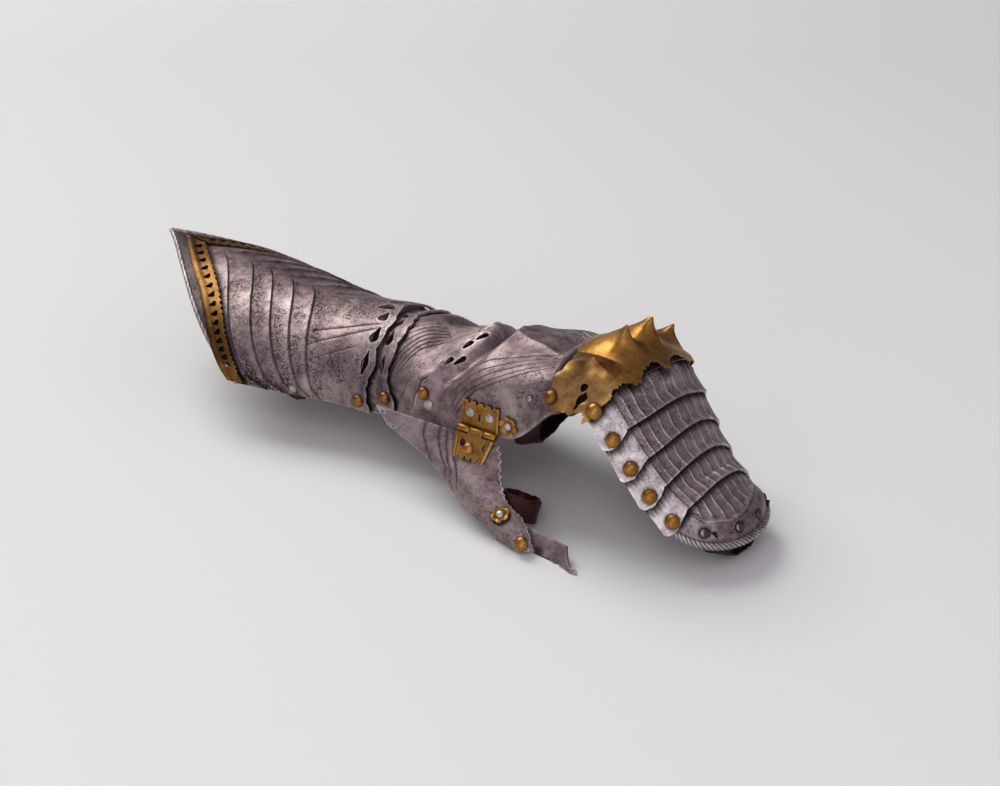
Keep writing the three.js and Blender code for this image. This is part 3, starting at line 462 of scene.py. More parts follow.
def sheet(name, surface, outline, holes, relief=None, wall=WALL, gap=(1.0, 1.0), material=None,
          sharp=35.0, shade_and_dirt=None, edge_gap=0.6, lines=(), line_width=0.5, wear_and_highlight=None, under=(), spots=(),
          edge_wear_and_highlight=1.0, stain=None):
    """A plate: outline and holes are loops of (u, v) on the surface, and relief raises its outer face.

    Lines are cut into the mesh as edges, so that an incised line or ridge along them stays crisp. Edges of
    other plates, as (points, start, reach), and rivets in spots, as (centre, radius), get painted shadow
    beside them. The dark mask holds painted shade and dirt, the bright one worn edges and painted
    highlights; stain says where the material is pitted.
    """
    scale = np.array([1.0, surface.girth])
    stretch = np.array([1.0, gap[0] / gap[1]])
    loops = [resample(np.asarray(loop, float) * scale, edge_gap) * stretch for loop in (outline, *holes)]
    cuts = []
    for line in lines:
        line = np.asarray(line, float) * scale
        travel = np.concatenate([[0], np.cumsum(np.linalg.norm(np.diff(line, axis=0), axis=1))])
        steps = np.linspace(0, travel[-1], max(2, int(travel[-1] / 1.1)))
        line = np.stack([np.interp(steps, travel, line[:, k]) for k in (0, 1)], -1)
        cuts += [offset_line(line, d) * stretch for d in (-line_width, 0, line_width)]
    low, high = loops[0].min(0), loops[0].max(0)
    step = gap[0]
    xs = np.arange(low[0] + step / 2, high[0], step)
    ys = np.arange(low[1] + step / 2, high[1], step * 0.9)
    grid = np.array([(x + (j % 2) * step / 2, y) for j, y in enumerate(ys) for x in xs])
    keep = inside_polygon(grid, loops[0])
    for hole in loops[1:]:
        keep &= ~inside_polygon(grid, hole)
    grid = grid[keep]
    grid = grid[~near_lines(grid, loops + cuts, step * 0.55)]
    verts, edges, first = [], [], 0
    for loop in loops:
        verts += [Vector(p) for p in loop]
        edges += [(first + i, first + (i + 1) % len(loop)) for i in range(len(loop))]
        first += len(loop)
    rim_count = first
    for line in cuts:
        verts += [Vector(p) for p in line]
        edges += [(first + i, first + i + 1) for i in range(len(line) - 1)]
        first += len(line)
    verts += [Vector(p) for p in grid]
    made, _, faces, sources, *_ = delaunay_2d_cdt(verts, edges, [], 0, 1e-5)
    flat = np.array([tuple(p) for p in made])
    on_rim = np.array([any(i < rim_count for i in source) for source in sources])
    faces = np.array([f for f in faces if len(f) == 3])
    centre = flat[faces].mean(1)
    keep = inside_polygon(centre, loops[0])
    for hole in loops[1:]:
        keep &= ~inside_polygon(centre, hole)
    faces = faces[keep]
    used, faces = np.unique(faces, return_inverse=True)
    faces = faces.reshape(-1, 3)
    flat, on_rim = flat[used], on_rim[used]
    uv = flat / stretch / scale
    u, v = uv[:, 0], uv[:, 1]
    point, normal, _, _ = frame_at(surface, u, v)
    lift = relief(u, v) if relief else np.zeros(len(uv))
    outer = point + normal * lift[:, None]
    inner = point + normal * (lift - wall)[:, None]
    a, b, c = (uv[faces[:, k]] * scale for k in range(3))
    flip = (b[:, 0] - a[:, 0]) * (c[:, 1] - a[:, 1]) - (b[:, 1] - a[:, 1]) * (c[:, 0] - a[:, 0]) < 0
    faces[flip] = faces[flip][:, ::-1]
    count = {(f[i], f[(i + 1) % 3]) for f in faces.tolist() for i in range(3)}
    rim = [e for e in count if (e[1], e[0]) not in count]
    n = len(outer)
    polygons = faces.tolist() + [[i + n for i in f[::-1]] for f in faces.tolist()]
    polygons += [[b, a, a + n, b + n] for a, b in sorted(rim)]
    piece = mesh_object(name, place(np.concatenate([outer, inner])), polygons, material, sharp)
    dark = shade_and_dirt(u, v) if shade_and_dirt else np.zeros(n)
    # Painted shadow beside the edges of the plates that lie over this one
    for edge, start, reach in under:
        dark = np.maximum(dark, 0.95 * near_points(outer, edge, start, reach))
    # Painted shade in a ring round each rivet
    for seat, radius in spots:
        away = np.linalg.norm(outer - seat, axis=1)
        dark = np.maximum(dark, 0.9 * np.clip(1 - (away - radius) / 0.9, 0, 1))
    # Bright: worn edges and painted highlights, the rim included
    bright = np.maximum(wear_and_highlight(u, v) if wear_and_highlight else 0, on_rim * edge_wear_and_highlight)
    stained = stain(u, v) if stain else np.zeros(n)
    for label, values in (("shade_and_dirt", dark), ("wear_and_highlight", bright), ("stain", stained)):
        paint(piece, label, np.concatenate([values, values * 0]))
    return piece


def sweep_mesh(rings, closed_ends=True):
    """Quads between rings of points; each ring closes on itself."""
    count = len(rings[0])
    points = [p for ring in rings for p in ring]
    faces = []
    for i in range(len(rings) - 1):
        for j in range(count):
            a, b = i * count + j, i * count + (j + 1) % count
            faces.append([a, b, b + count, a + count])
    if closed_ends:
        faces.append(list(range(count))[::-1])
        faces.append([(len(rings) - 1) * count + j for j in range(count)])
    return points, faces


def pipe(name, path, radius, material, sides, twist, rope, strands):
    """A round bar along a path; rope raises strands that wind round it."""
    path = np.asarray(path, float)
    tangent = unit(np.gradient(path, axis=0))
    side = unit(np.cross(tangent, np.array([0.1, 0.2, 1.0])))
    top = unit(np.cross(side, tangent))
    travel = np.concatenate([[0], np.cumsum(np.linalg.norm(np.diff(path, axis=0), axis=1))])
    angle = around(sides)
    rings, crests = [], []
    for i, p in enumerate(path):
        crest = np.abs(np.cos(strands * angle / 2 + twist * travel[i]))
        r = radius * (1 + rope * (crest - 0.5))
        rings.append(p + (r * np.cos(angle))[:, None] * side[i] + (r * np.sin(angle))[:, None] * top[i])
        crests.append(crest)
    points, faces = sweep_mesh(rings)
    piece = mesh_object(name, place(points), faces, material, 50)
    crests = np.concatenate(crests)
    # Painted highlight on the strands' crests and painted shade between them
    paint(piece, "wear_and_highlight", 0.7 * crests)
    paint(piece, "shade_and_dirt", 0.9 * (1 - crests) ** 2.5)
    return piece


def turned(profile, base, direction, sides=40):
    """A round piece from a profile of (radius, height) pairs along a direction."""
    direction = unit(direction)
    side = unit(np.cross(direction, [0.3, 1.0, 0.2] if abs(direction[1]) < 0.9 else [1.0, 0.2, 0.1]))
    other = np.cross(direction, side)
    angle = around(sides)
    ring = np.cos(angle)[:, None] * side + np.sin(angle)[:, None] * other
    return sweep_mesh([base + direction * h + r * ring for r, h in profile])


def rivet(name, seat, out, head, height, depth, body, material, tail=2.3):
    """A domed head on a shank, with a flat tail inside."""
    foot = -depth - SEAT_GAP
    dome = [(head * math.cos(a), SEAT_GAP * 0.4 + height * math.sin(a)) for a in np.linspace(0, rad(86), 9)]
    profile = [(0.05, foot - 0.8), (tail, foot - 0.7), (tail, foot), (1.3, foot), (1.3, 0), (head, 0)]
    points, faces = turned(profile + dome + [(0.02, SEAT_GAP * 0.4 + height)], seat, out)
    piece = mesh_object(name + "_look", place(points), faces, material, 40)
    return finish_piece(piece, body, name)


# Materials
def node(tree, kind, **values):
    made = tree.nodes.new(kind)
    for key, value in values.items():
        if key in made.bl_rna.properties:
            setattr(made, key, value)
        else:
            made.inputs[key.replace("_", " ")].default_value = value
    return made


def ramp(tree, source, stops):
    made = tree.nodes.new("ShaderNodeValToRGB")
    while len(made.color_ramp.elements) < len(stops):
        made.color_ramp.elements.new(0.5)
    for element, (position, value) in zip(made.color_ramp.elements, stops):
        element.position = position
        element.color = (*value, 1) if isinstance(value, tuple) else (value, value, value, 1)
    tree.links.new(source, made.inputs["Fac"])
    return made.outputs["Color"]


def noise(tree, coords, scale, detail, roughness, distortion=0.0):
    made = node(tree, "ShaderNodeTexNoise", Scale=scale, Detail=detail, Roughness=roughness,
                Distortion=distortion)
    tree.links.new(coords, made.inputs["Vector"])
    return made.outputs["Fac"]


def blend_colour(tree, fac, a, b):
    made = node(tree, "ShaderNodeMix", data_type="RGBA")
    for socket, value in ((made.inputs[0], fac), (made.inputs[6], a), (made.inputs[7], b)):
        if isinstance(value, bpy.types.NodeSocket):
            tree.links.new(value, socket)
        else:
            socket.default_value = (*value, 1) if isinstance(value, tuple) else value
    return made.outputs[2]


def maths(tree, operation, a, b):
    made = node(tree, "ShaderNodeMath", operation=operation)
    for socket, value in zip(made.inputs, (a, b)):
        if isinstance(value, bpy.types.NodeSocket):
            tree.links.new(value, socket)
        else:
            socket.default_value = value
    return made.outputs[0]


PATCH = 30.0


def material(name, light, mid, dark, pit, rough, metal=1.0, grain=260.0, pits=1250.0, pit_cut=0.56,
             bump=0.3, shade_and_dirt_colour=None, worn=None, pit_share=0.85):
    """Old metal or leather: slow patches, fine grain, clustered pits, painted shade and dirt, worn edges and
    painted highlights.
    """
    made = bpy.data.materials.new(name)
    made.use_nodes = True
    tree = made.node_tree
    shader = tree.nodes["Principled BSDF"]
    coords = node(tree, "ShaderNodeTexCoord").outputs["Object"]
    patches = noise(tree, coords, PATCH, 5, 0.62, 0.5)
    fine = noise(tree, coords, grain, 6, 0.7)
    stain = node(tree, "ShaderNodeAttribute", attribute_name="stain").outputs["Fac"]
    spread = maths(tree, "MULTIPLY", stain, 0.11)
    spots = maths(tree, "ADD", noise(tree, coords, pits, 4, 0.65), spread)
    wide_spots = maths(tree, "ADD", noise(tree, coords, pits * 0.5, 5, 0.7), spread)
    clusters = noise(tree, coords, PATCH * 2.3, 6, 0.72, 0.8)
    colour = ramp(tree, patches, [(0.36, dark), (0.5, mid), (0.64, light)])
    colour = blend_colour(tree, ramp(tree, fine, [(0.4, 0.0), (0.72, 0.7)]), colour, light)
    colour = blend_colour(tree, ramp(tree, fine, [(0.3, 0.6), (0.5, 0.0)]), colour, dark)
    gather = ramp(tree, maths(tree, "ADD", clusters, spread), [(0.43, 0.16), (0.58, 1.0)])
    small = ramp(tree, spots, [(pit_cut, 0.0), (pit_cut + 0.09, 1.0)])
    wide = ramp(tree, wide_spots, [(pit_cut + 0.04, 0.0), (pit_cut + 0.12, 1.0)])
    pit_mask = maths(tree, "MULTIPLY", maths(tree, "MAXIMUM", small, wide), gather)
    pit_mask = maths(tree, "MULTIPLY", pit_mask, pit_share)
    # The bright attribute and the worn colour: worn edges and painted highlights
    wear_and_highlight = node(tree, "ShaderNodeAttribute", attribute_name="wear_and_highlight").outputs["Fac"]
    wear_and_highlight_mask = maths(tree, "MULTIPLY", wear_and_highlight, ramp(tree, fine, [(0.35, 0.35), (0.65, 1.0)]))
    colour = blend_colour(tree, wear_and_highlight_mask, colour, worn or light)
    cleaned = maths(tree, "SUBTRACT", 1.0, maths(tree, "MULTIPLY", wear_and_highlight, 0.55))
    pit_mask = maths(tree, "MULTIPLY", pit_mask, cleaned)
    colour = blend_colour(tree, pit_mask, colour, pit)
    # The dark attribute: painted shade and dirt
    shade_and_dirt = node(tree, "ShaderNodeAttribute", attribute_name="shade_and_dirt").outputs["Fac"]
    colour = blend_colour(tree, shade_and_dirt, colour, shade_and_dirt_colour or pit)
    tree.links.new(colour, shader.inputs["Base Color"])
    roughness = ramp(tree, clusters, [(0.3, rough[0]), (0.75, rough[1])])
    roughness = maths(tree, "SUBTRACT", roughness, maths(tree, "MULTIPLY", wear_and_highlight_mask, 0.08))
    tree.links.new(roughness, shader.inputs["Roughness"])
    shader.inputs["Metallic"].default_value = metal
    shader.inputs["Specular IOR Level"].default_value = 0.5 if metal else 0.15
    height = maths(tree, "SUBTRACT", maths(tree, "MULTIPLY", fine, 0.4),
                   maths(tree, "MULTIPLY", pit_mask, 0.7))
    bumped = node(tree, "ShaderNodeBump", Strength=bump, Distance=0.0005)
    tree.links.new(height, bumped.inputs["Height"])
    tree.links.new(bumped.outputs["Normal"], shader.inputs["Normal"])
    return made


# For the metals, worn is the colour of worn edges and painted highlights, the darkest colour that of painted
# shade and dirt
STEEL = material("pitted_steel", (0.4, 0.325, 0.318), (0.255, 0.19, 0.192), (0.125, 0.083, 0.09),
                 (0.03, 0.016, 0.02), (0.46, 0.62), shade_and_dirt_colour=(0.014, 0.009, 0.011),
                 worn=(0.84, 0.8, 0.78), pit_cut=0.52, pit_share=0.92)
IRON = material("iron_heads", (0.6, 0.56, 0.54), (0.42, 0.385, 0.375), (0.24, 0.2, 0.2), (0.08, 0.06, 0.06),
                (0.36, 0.5), pits=1100, pit_share=0.7)
BRASS = material("gilt_brass", (0.45, 0.235, 0.06), (0.3, 0.142, 0.03), (0.17, 0.072, 0.015),
                 (0.05, 0.022, 0.01), (0.33, 0.46), pit_cut=0.58, shade_and_dirt_colour=(0.016, 0.008, 0.004),
                 worn=(0.58, 0.36, 0.14), bump=0.25, pit_share=0.75)
LEATHER = material("old_leather", (0.05, 0.01, 0.007), (0.018, 0.0045, 0.0035), (0.007, 0.002, 0.002),
                   (0.002, 0.001, 0.001), (0.3, 0.5), metal=0.0, grain=520, bump=0.6,
                   worn=(0.05, 0.013, 0.01))


# Outlines
def run(edge, start, end, count):
    """Points of an edge given as u for each v."""
    vs = np.linspace(start, end, count)
    return [(float(edge(v)), float(v)) for v in vs]


def drop_hole(u, v, girth, length, width, angle, point, wobble, waves):
    """A pierced hole: a drop whose long axis lies at an angle to v."""
    a = around(28)
    x = length / 2 * np.cos(a)
    y = width / 2 * np.sin(a) * (1 - point * np.cos(a)) * (1 + wobble * np.cos(waves * a))
    c, s = math.cos(rad(angle)), math.sin(rad(angle))
    return [(u + y_ * c - x_ * s, v + (x_ * c + y_ * s) / girth) for x_, y_ in zip(x, y)]


def round_hole(surface, u, v, size):
    return drop_hole(u, v, surface.girth, size, size, 0, 0, 0, 0)


def mirrored(hole):
    return [(u, -v) for u, v in hole][::-1]


def scallop(v, lobes, depth, power):
    """Lobes between the given places: 0 in the cusps, depth at the middle of each lobe."""
    share = np.abs(v)
    total = 0.0
    for a, b in zip(lobes, lobes[1:]):
        if a <= share < b:
            total = depth * abs(math.sin(math.pi * (share - a) / (b - a))) ** power
    return total


# Cuff: chevron flutes nested along its two rear edges, three fine lines at the front, a pierced front edge
FLUTES = [(-190, -127, 0.76), (-174.5, -117, 0.72), (-156.5, -107, 0.72), (-145, -98.5, 0.66),
          (-133, -91.5, 0.58), (-118.5, -84.5, 0.56)]
FLUTE_FALL = 1.05


def flute_line(k, v):
    apex, side, power = FLUTES[k]
    return apex + (side - apex) * (np.abs(v) / FOLD_SHARE) ** power


def cuff_relief(x, v):
    lift = np.zeros_like(x)
    for k in range(len(FLUTES) - 1):
        low, high = flute_line(k, v), flute_line(k + 1, v)
        rise = np.clip((x - low) / np.maximum(high - low, 0.5), 0, 1) ** 2 * (x < high)
        fall = np.clip(1 - (x - high), 0, 1) * (x >= high)
        lift += FLUTE_FALL * (rise + fall)
    return lift * smooth((np.abs(v) + 0.01) / 0.12)


# Incised lines on the cuff, each from one (x, v) to another
CUFF_LINES = [((-97, -0.375), (-60, -0.222)), ((-93, -0.462), (-60.5, -0.262)),
              ((-87, -0.553), (-66, -0.405))]
LINE_WIDTH, LINE_BEND = 0.55, 0.03


def cuff_line(v0, v1, k):
    return mix(v0, v1, k) + LINE_BEND * k * (1 - k)


def cuff_lines(x, v):
    depth = np.zeros_like(x)
    for (x0, v0), (x1, v1) in CUFF_LINES:
        k = np.clip((x - x0) / (x1 - x0), 0, 1)
        ends = smooth((x - x0) / 4) * smooth((x1 - x) / 4)
        depth = np.maximum(depth, tent((np.abs(v) + cuff_line(v0, v1, k)) * cuff.girth, LINE_WIDTH) * ends)
    return depth


def cuff_shade_and_dirt(x, v):
    # Painted shade at each flute's drop and under the brass border, the steel strip outside the border
    # darker too, and darker along the incised lines
    dark = np.zeros_like(x)
    for k in range(1, len(FLUTES)):
        dark = np.maximum(dark, tent(x - flute_line(k, v) - 1.0, 0.9) * 0.6)
    behind = 0.95 * smooth((border_inner(v) + 0.5 - x) / 1.5)
    dark = np.maximum(dark, behind * mix(0.7, 1, smooth((x - border_outer(v)) / 1.5)))
    return np.maximum(dark, cuff_lines(x, v) * 0.8)


def cuff_crest_highlight_and_wear(x, v):
    # Painted highlight on each flute's crest, partly real worn polish
    bright = np.zeros_like(x)
    for k in range(1, len(FLUTES)):
        bright = np.maximum(bright, tent(x - flute_line(k, v) + 0.8, 3.2) * 0.2)
    return bright * smooth((np.abs(v) - 0.03) / 0.16)


def cuff_stain(x, v):
    share = np.abs(v)
    low_rear = np.exp(-((x + 122) / 22) ** 2 - ((share - 0.86) / 0.16) ** 2)
    low_front = np.exp(-((x + 72) / 12) ** 2 - ((share - 0.55) / 0.17) ** 2)
    top_front = np.exp(-((x + 84) / 20) ** 2 - ((share - 0.06) / 0.12) ** 2)
    between = np.zeros_like(x)
    for k in range(1, len(FLUTES)):
        between = np.maximum(between, bell(x - flute_line(k, v), 4, 3))
    return np.clip(0.95 * low_rear + 0.75 * low_front + 0.6 * top_front + 0.5 * between, 0, 1)


CUFF_LOBES = [0.0, 0.13, 0.25, 0.4, 0.6, 0.66, 0.78, 1.0]


def cuff_front(v):
    share = abs(v)
    base = np.interp(share, [0, 0.06, 0.17, 0.3, 0.4, 0.5, 0.62, 0.68, 0.85, 1],
                     [-60.5, -60, -57, -57, -57, -54.6, -55.6, -55.6, -53.2, -52])
    return base + scallop(v, CUFF_LOBES, 0.9, 0.8)


def cuff_holes(girth):
    return [drop_hole(-59.6, -0.5, girth, 11, 3.0, 3, 0.3, 0.3, 4),
            drop_hole(-60.8, -0.312, girth, 8.0, 4.2, -4, 0.3, 0.25, 3),
            drop_hole(-63.2, -0.16, girth, 6.4, 4.6, -8, 0.35, 0.25, 3),
            drop_hole(-67.2, -0.05, girth, 4.8, 9.6, 0, 0.1, 0.25, 3)]


def seat_of(at, lean, size, side):
    slope = math.atan(size.get("slope", 0))
    seat = np.array([at[0], size.get("mid", 0) + side * size["half"], at[1]])
    out = np.array([math.sin(rad(lean)) * math.sin(slope), side * math.cos(slope),
                    math.cos(rad(lean)) * math.sin(slope)])
    if size.get("hand"):
        return to_hand(seat), HAND_TURN @ out
    return seat, out


# The brass borders' own edges, as places along X for shares of the way round
BORDER_OUTER = ([0.0, 0.063, 0.221, 0.34, 0.484, 0.6, 0.697, 0.779, 0.936],
                [-197.0, -190.3, -172.9, -159.3, -147.6, -139.9, -134.2, -129.9, -126.6])
BORDER_INNER = ([0.0, 0.027, 0.166, 0.294, 0.432, 0.565, 0.708, 0.79, 0.936],
                [-184.5, -181.3, -165.3, -151.2, -139.6, -131.0, -123.2, -120.6, -118.5])


def border_outer(v):
    return np.interp(np.abs(v), *BORDER_OUTER)


def border_inner(v):
    return np.interp(np.abs(v), *BORDER_INNER)


def border_share(x, v):
    return (x - border_outer(v)) / (border_inner(v) - border_outer(v))


def border_tooth(v):
    travel = abs(v) * 120
    notch = 0.5 * (1 - abs(2 * (travel / 3.1 % 1) - 1))
    return notch + 0.4 * math.sin(travel * 1.7) + 0.25 * math.sin(travel * 4.1)


def border_edge(side):
    vs = side * np.linspace(0.01, 0.9 if side < 0 else 0.62, 160)
    return cuff(border_inner(vs), vs)


near_holes = cuff_holes(cuff.girth)
cuff_outline = (run(lambda v: float(cuff_edge(np.array(v))) + 1.2, -0.985, 0, 90)
                + run(lambda v: float(cuff_edge(np.array(v))) + 1.2, 0.0, 1.0, 90)[1:]
                + run(cuff_front, 1.0, -0.985, 260))
chevrons = []
for k in range(1, len(FLUTES)):
    for side in (-1, 1):
        for shift in (0.0, 1.0):
            chevrons.append([(float(flute_line(k, v)) + shift, side * v)
                             for v in np.linspace(0.015, 0.99, 60)])
incised = [[(mix(x0, x1, k), side * -cuff_line(v0, v1, k)) for k in np.linspace(0, 1, 12)]
           for (x0, v0), (x1, v1) in CUFF_LINES for side in (-1, 1)]
# Painted shadow beside the brass borders' inner edges and painted shade round the cuff rivets
piece = sheet("cuff_plate_look", cuff, cuff_outline, near_holes + [mirrored(h) for h in near_holes],
              lambda x, v: cuff_relief(x, v) - 0.3 * cuff_lines(x, v), wall=WALL - 0.2, gap=(1.1, 1.2),
              material=STEEL, shade_and_dirt=cuff_shade_and_dirt, lines=chevrons + incised, line_width=0.5,
              wear_and_highlight=cuff_crest_highlight_and_wear, edge_wear_and_highlight=0.4, stain=cuff_stain,
              under=[(border_edge(side), 1.5, 1.7) for side in (-1, 1)],
              spots=[(seat_of(CUFF, 0, AT_CUFF, side)[0], 2.9) for side in (-1, 1)])
finish_piece(piece, "cuff", "cuff_plate")
edge_v = np.linspace(-0.985, 1.0, 240)
rim = pipe("cuff_turned_rim", cuff(cuff_edge(edge_v) + 1.3, edge_v), 1.15, STEEL, 14, 0.7, 0.12, 3)
finish_piece(rim, "cuff", None)


# Brass borders: pierced with small trefoils, with a notched inner edge and a round moulding outside
def border_outline(side):
    first, last = 0.008 * side, (0.93 if side < 0 else 0.62) * side
    outer = run(lambda v: float(border_outer(v)), first, last, 160)
    return outer + run(lambda v: float(border_inner(v)) + border_tooth(v), last, first, 420)


def border_holes(side):
    holes = []
    angle = around(24)
    radius = 1.35 * (0.7 + 0.4 * np.abs(np.cos(1.5 * angle + 0.5)))
    for k in range(15):
        v = side * (0.05 + k * (0.0475 if side < 0 else 0.033))
        x = float(mix(border_outer(v), border_inner(v), 0.62))
        holes.append([(x + r * math.cos(a) * 1.25, v + r * math.sin(a) / border.girth)
                      for r, a in zip(radius, angle)])
    return holes


def border_relief(x, v):
    across = border_share(x, v)
    return 0.45 * bell(across, 0.2, 0.15) + 0.2 * bell(across, 0.93, 0.06)


def border_tone_and_shade(x, v):
    # A dull darker tone over the whole border, with painted shade along its outer edge and beside the
    # moulding
    across = border_share(x, v)
    return 0.5 + 0.4 * bell(across, 0.4, 0.05) + 0.5 * bell(across, 0, 0.05)


border = Evened(Cuff(STEP - 0.35))
for side, label in ((-1, "near"), (1, "far")):
    piece = sheet(f"cuff_border_{label}_look", border, border_outline(side), border_holes(side),
                  border_relief, BRASS_WALL, (0.8, 0.9), BRASS, shade_and_dirt=border_tone_and_shade, edge_gap=0.4,
                  edge_wear_and_highlight=0.15)
    finish_piece(piece, "cuff", f"cuff_border_{label}")

# The knuckle cover: its spikes as (place, height), and its two edges as ribs along for places round it
SPIKES = [(-0.55, 10.2), (-0.15, 12.6), (0.15, 12.6), (0.55, 10.2)]
SPIKE_LEAN = 0.25
CROWN_U = float(cover.u(2.0))


def cover_relief(u, v):
    """Four hollow-sided knuckles: a swelling, a crest along it and a thin spike."""
    lift = np.zeros_like(u)
    for centre, height in SPIKES:
        outer = np.sign(centre) * (v - centre) > 0
        half = np.where(outer, 0.24, 0.2)
        across = np.clip(np.abs(v - centre) / half, 0, 1)
        along = np.where(u < CROWN_U, (CROWN_U - u) / 17, (u - CROWN_U) / 12)
        swell = np.clip(1 - along, 0, 1) ** 0.9 * (1 - across) ** 1.3
        crest = np.clip(1 - along, 0, 1) ** 1.3 * np.clip(1 - across * 3.2, 0, 1) ** 1.5
        away = np.hypot((v - centre) * cover.girth * 1.1, u - CROWN_U)
        spike = np.exp(-away / 3.4)
        lift = np.maximum(lift, height * (0.42 * swell + 0.13 * crest + 0.45 * spike))
    return lift


def cover_lit_side_and_wear(u, v):
    # Painted highlight with some worn polish on the raised knuckles, and painted light over the whole near
    # side
    return np.clip(cover_relief(u, v) / 12 - 0.35, 0, 1) * 0.7 + 0.75 * smooth((-v - 0.45) / 0.3)


class Leaning:
    """The cover's surface, its spikes leaning forward."""

    def __init__(self, surface, lift):
        self.surface, self.lift, self.girth = surface, lift, surface.girth

    def __call__(self, u, v):
        return self.surface(u, v) + (self.lift(u, v) * SPIKE_LEAN)[..., None] * np.array([1.0, 0, 0])


FRONT_SCALLOPS = ([-1.0, -0.93, -0.86, -0.80, -0.75, -0.707, -0.66, -0.626, -0.595, -0.565, -0.52, -0.483,
                   -0.428, -0.398, -0.36, -0.32, -0.247, -0.161, -0.089, -0.049, -0.021, 0.02, 0.073, 0.14,
                   0.2, 0.28, 0.34, 0.4, 0.46, 0.55, 0.7, 0.78, 0.86, 0.93, 1.0],
                  [4.95, 5.1, 4.7, 5.2, 4.4, 3.3, 3.35, 3.73, 3.6, 3.45, 3.7, 4.07,
                   5.14, 5.3, 5.0, 4.3, 3.4, 3.08, 2.96, 3.79, 5.0, 5.1, 3.69, 3.2,
                   2.98, 3.4, 4.4, 5.2, 4.5, 3.5, 3.3, 5.0, 4.6, 4.9, 4.1])
REAR_SCALLOPS = ([-1.0, -0.94, -0.88, -0.805, -0.75, -0.683, -0.6, -0.498, -0.38, -0.248, -0.13, -0.03, 0.1,
                  0.216, 0.35, 0.5, 0.68, 0.8, 0.9, 1.0],
                 [0.4, 0.1, 0.5, 0.75, 1.0, 1.18, 1.27, 1.30, 1.2, 1.04, 0.72, 0.48, 0.2,
                  0.1, 0.5, 0.9, 1.1, 0.7, 0.3, 0.5])


def cover_front(v):
    tooth = 0.9 * (1 - abs(2 * (abs(v) * 15 % 1) - 1)) + 0.35 * math.sin(v * 130) if abs(v) < 0.75 else 0
    return float(cover.u(np.interp(v, *FRONT_SCALLOPS))) + tooth


def cover_low(t):
    """How far round the cover reaches on the near side, with two small leaf points."""
    leaf = 0.055 * max(0, 1 - abs(t - 4.3) / 0.7) + 0.045 * max(0, 1 - abs(t - 0.9) / 0.8)
    return 1 + leaf + 0.014 * abs(math.sin(t * 5.3))


def cover_rear(v):
    return float(cover.u(np.interp(v, *REAR_SCALLOPS))) + 0.35 * math.sin(v * 45)


# Wrist lame and metacarpal plates
def wrist_front(v):
    base = np.interp(abs(v), [0, 0.06, 0.17, 0.3, 0.45, 0.6, 0.68, 0.85, 1],
                     [-3.6, -1.6, 0, 0.2, 0.2, 0.2, 1.2, 1.5, 0.6])
    return wrist.length + base + scallop(v, [0.0, 0.1, 0.2, 0.34, 0.53, 0.63, 0.74, 1.0], 1.1, 0.8)


WRIST_HOLES = [drop_hole(wrist.length - 5.0, -0.5, wrist.girth, 8.6, 2.9, 2, 0.3, 0.3, 4),
               drop_hole(wrist.length - 5.0, -0.297, wrist.girth, 7.2, 3.9, -3, 0.3, 0.25, 3),
               drop_hole(wrist.length - 5.4, -0.14, wrist.girth, 5.8, 3.9, -10, 0.3, 0.2, 3),
               drop_hole(wrist.length - 8.8, -0.045, wrist.girth, 3.8, 7.6, 0, 0.1, 0.2, 3)]


def shade_under_edge(surface, edge, ahead_of=1.0):
    """Painted shade on the part of a plate that lies behind (or ahead of) another plate's edge, so holes
    over it look dark.
    """
    vs = np.linspace(-1, 1, 400)
    places = edge(vs)[:, 0]

    def dark(u, v):
        return 0.97 * smooth((ahead_of * (np.interp(v, vs, places) - surface(u, v)[..., 0]) + 0.2) / 1.2)
    return dark


def curve(surface, edge):
    return lambda vs: surface(np.array([edge(v) for v in vs]), vs)


def wrist_sink(u, v):
    """Room under the cuff for the wrist lame to turn in."""
    share = np.abs(v)
    rear_edge = 1.3 * smooth((6 - u) / 5.5) * smooth((0.7 - share) / 0.3)
    sides = 1.0 * smooth((15 - u) / 5) * np.exp(-((share - 0.48) / 0.15) ** 2)
    return -0.2 - np.maximum(rear_edge, sides)


EDGE_V = np.linspace(-0.98, 0.98, 320)
cuff_front_line, wrist_front_line = curve(cuff, cuff_front), curve(wrist, wrist_front)
# Painted shade on the part under the cuff, painted shadow beside the cuff's front edge, painted shade round
# the rivets
piece = sheet("wrist_lame_look", wrist, run(lambda v: 0.0, -1, 1, 120) + run(wrist_front, 1, -1, 240),
              WRIST_HOLES + [mirrored(h) for h in WRIST_HOLES], wrist_sink, gap=(1.2, 1.4), material=STEEL,
              shade_and_dirt=shade_under_edge(wrist, cuff_front_line), under=[(cuff_front_line(EDGE_V), 1.8, 1.0)],
              edge_wear_and_highlight=0.45, spots=[(seat_of(LAME, -17, AT_LAME, side)[0], 2.9) for side in (-1, 1)])
finish_piece(piece, "wrist_lame", "wrist_lame")


REAR_LEVELS = (0.1, 0.17, 0.25, 0.34, 0.44, 0.55, 0.67)
REAR_REACH, REAR_LOW, REAR_HIGH = 13.0, 0.04, 0.62


def rear_lines(u, v):
    """Fine lines that sweep up from the side and run forward, fading at their ends."""
    growth = np.exp((u - rear.u(2.1)) / REAR_REACH)
    width = LINE_WIDTH * np.maximum(growth, 0.2) / rear.girth
    depth = np.zeros_like(u)
    for level in REAR_LEVELS:
        depth = np.maximum(depth, tent(np.abs(v) * growth - level, width))
    return depth * smooth((np.abs(v) - REAR_LOW) / 0.06) * smooth((REAR_HIGH - np.abs(v)) / 0.06)


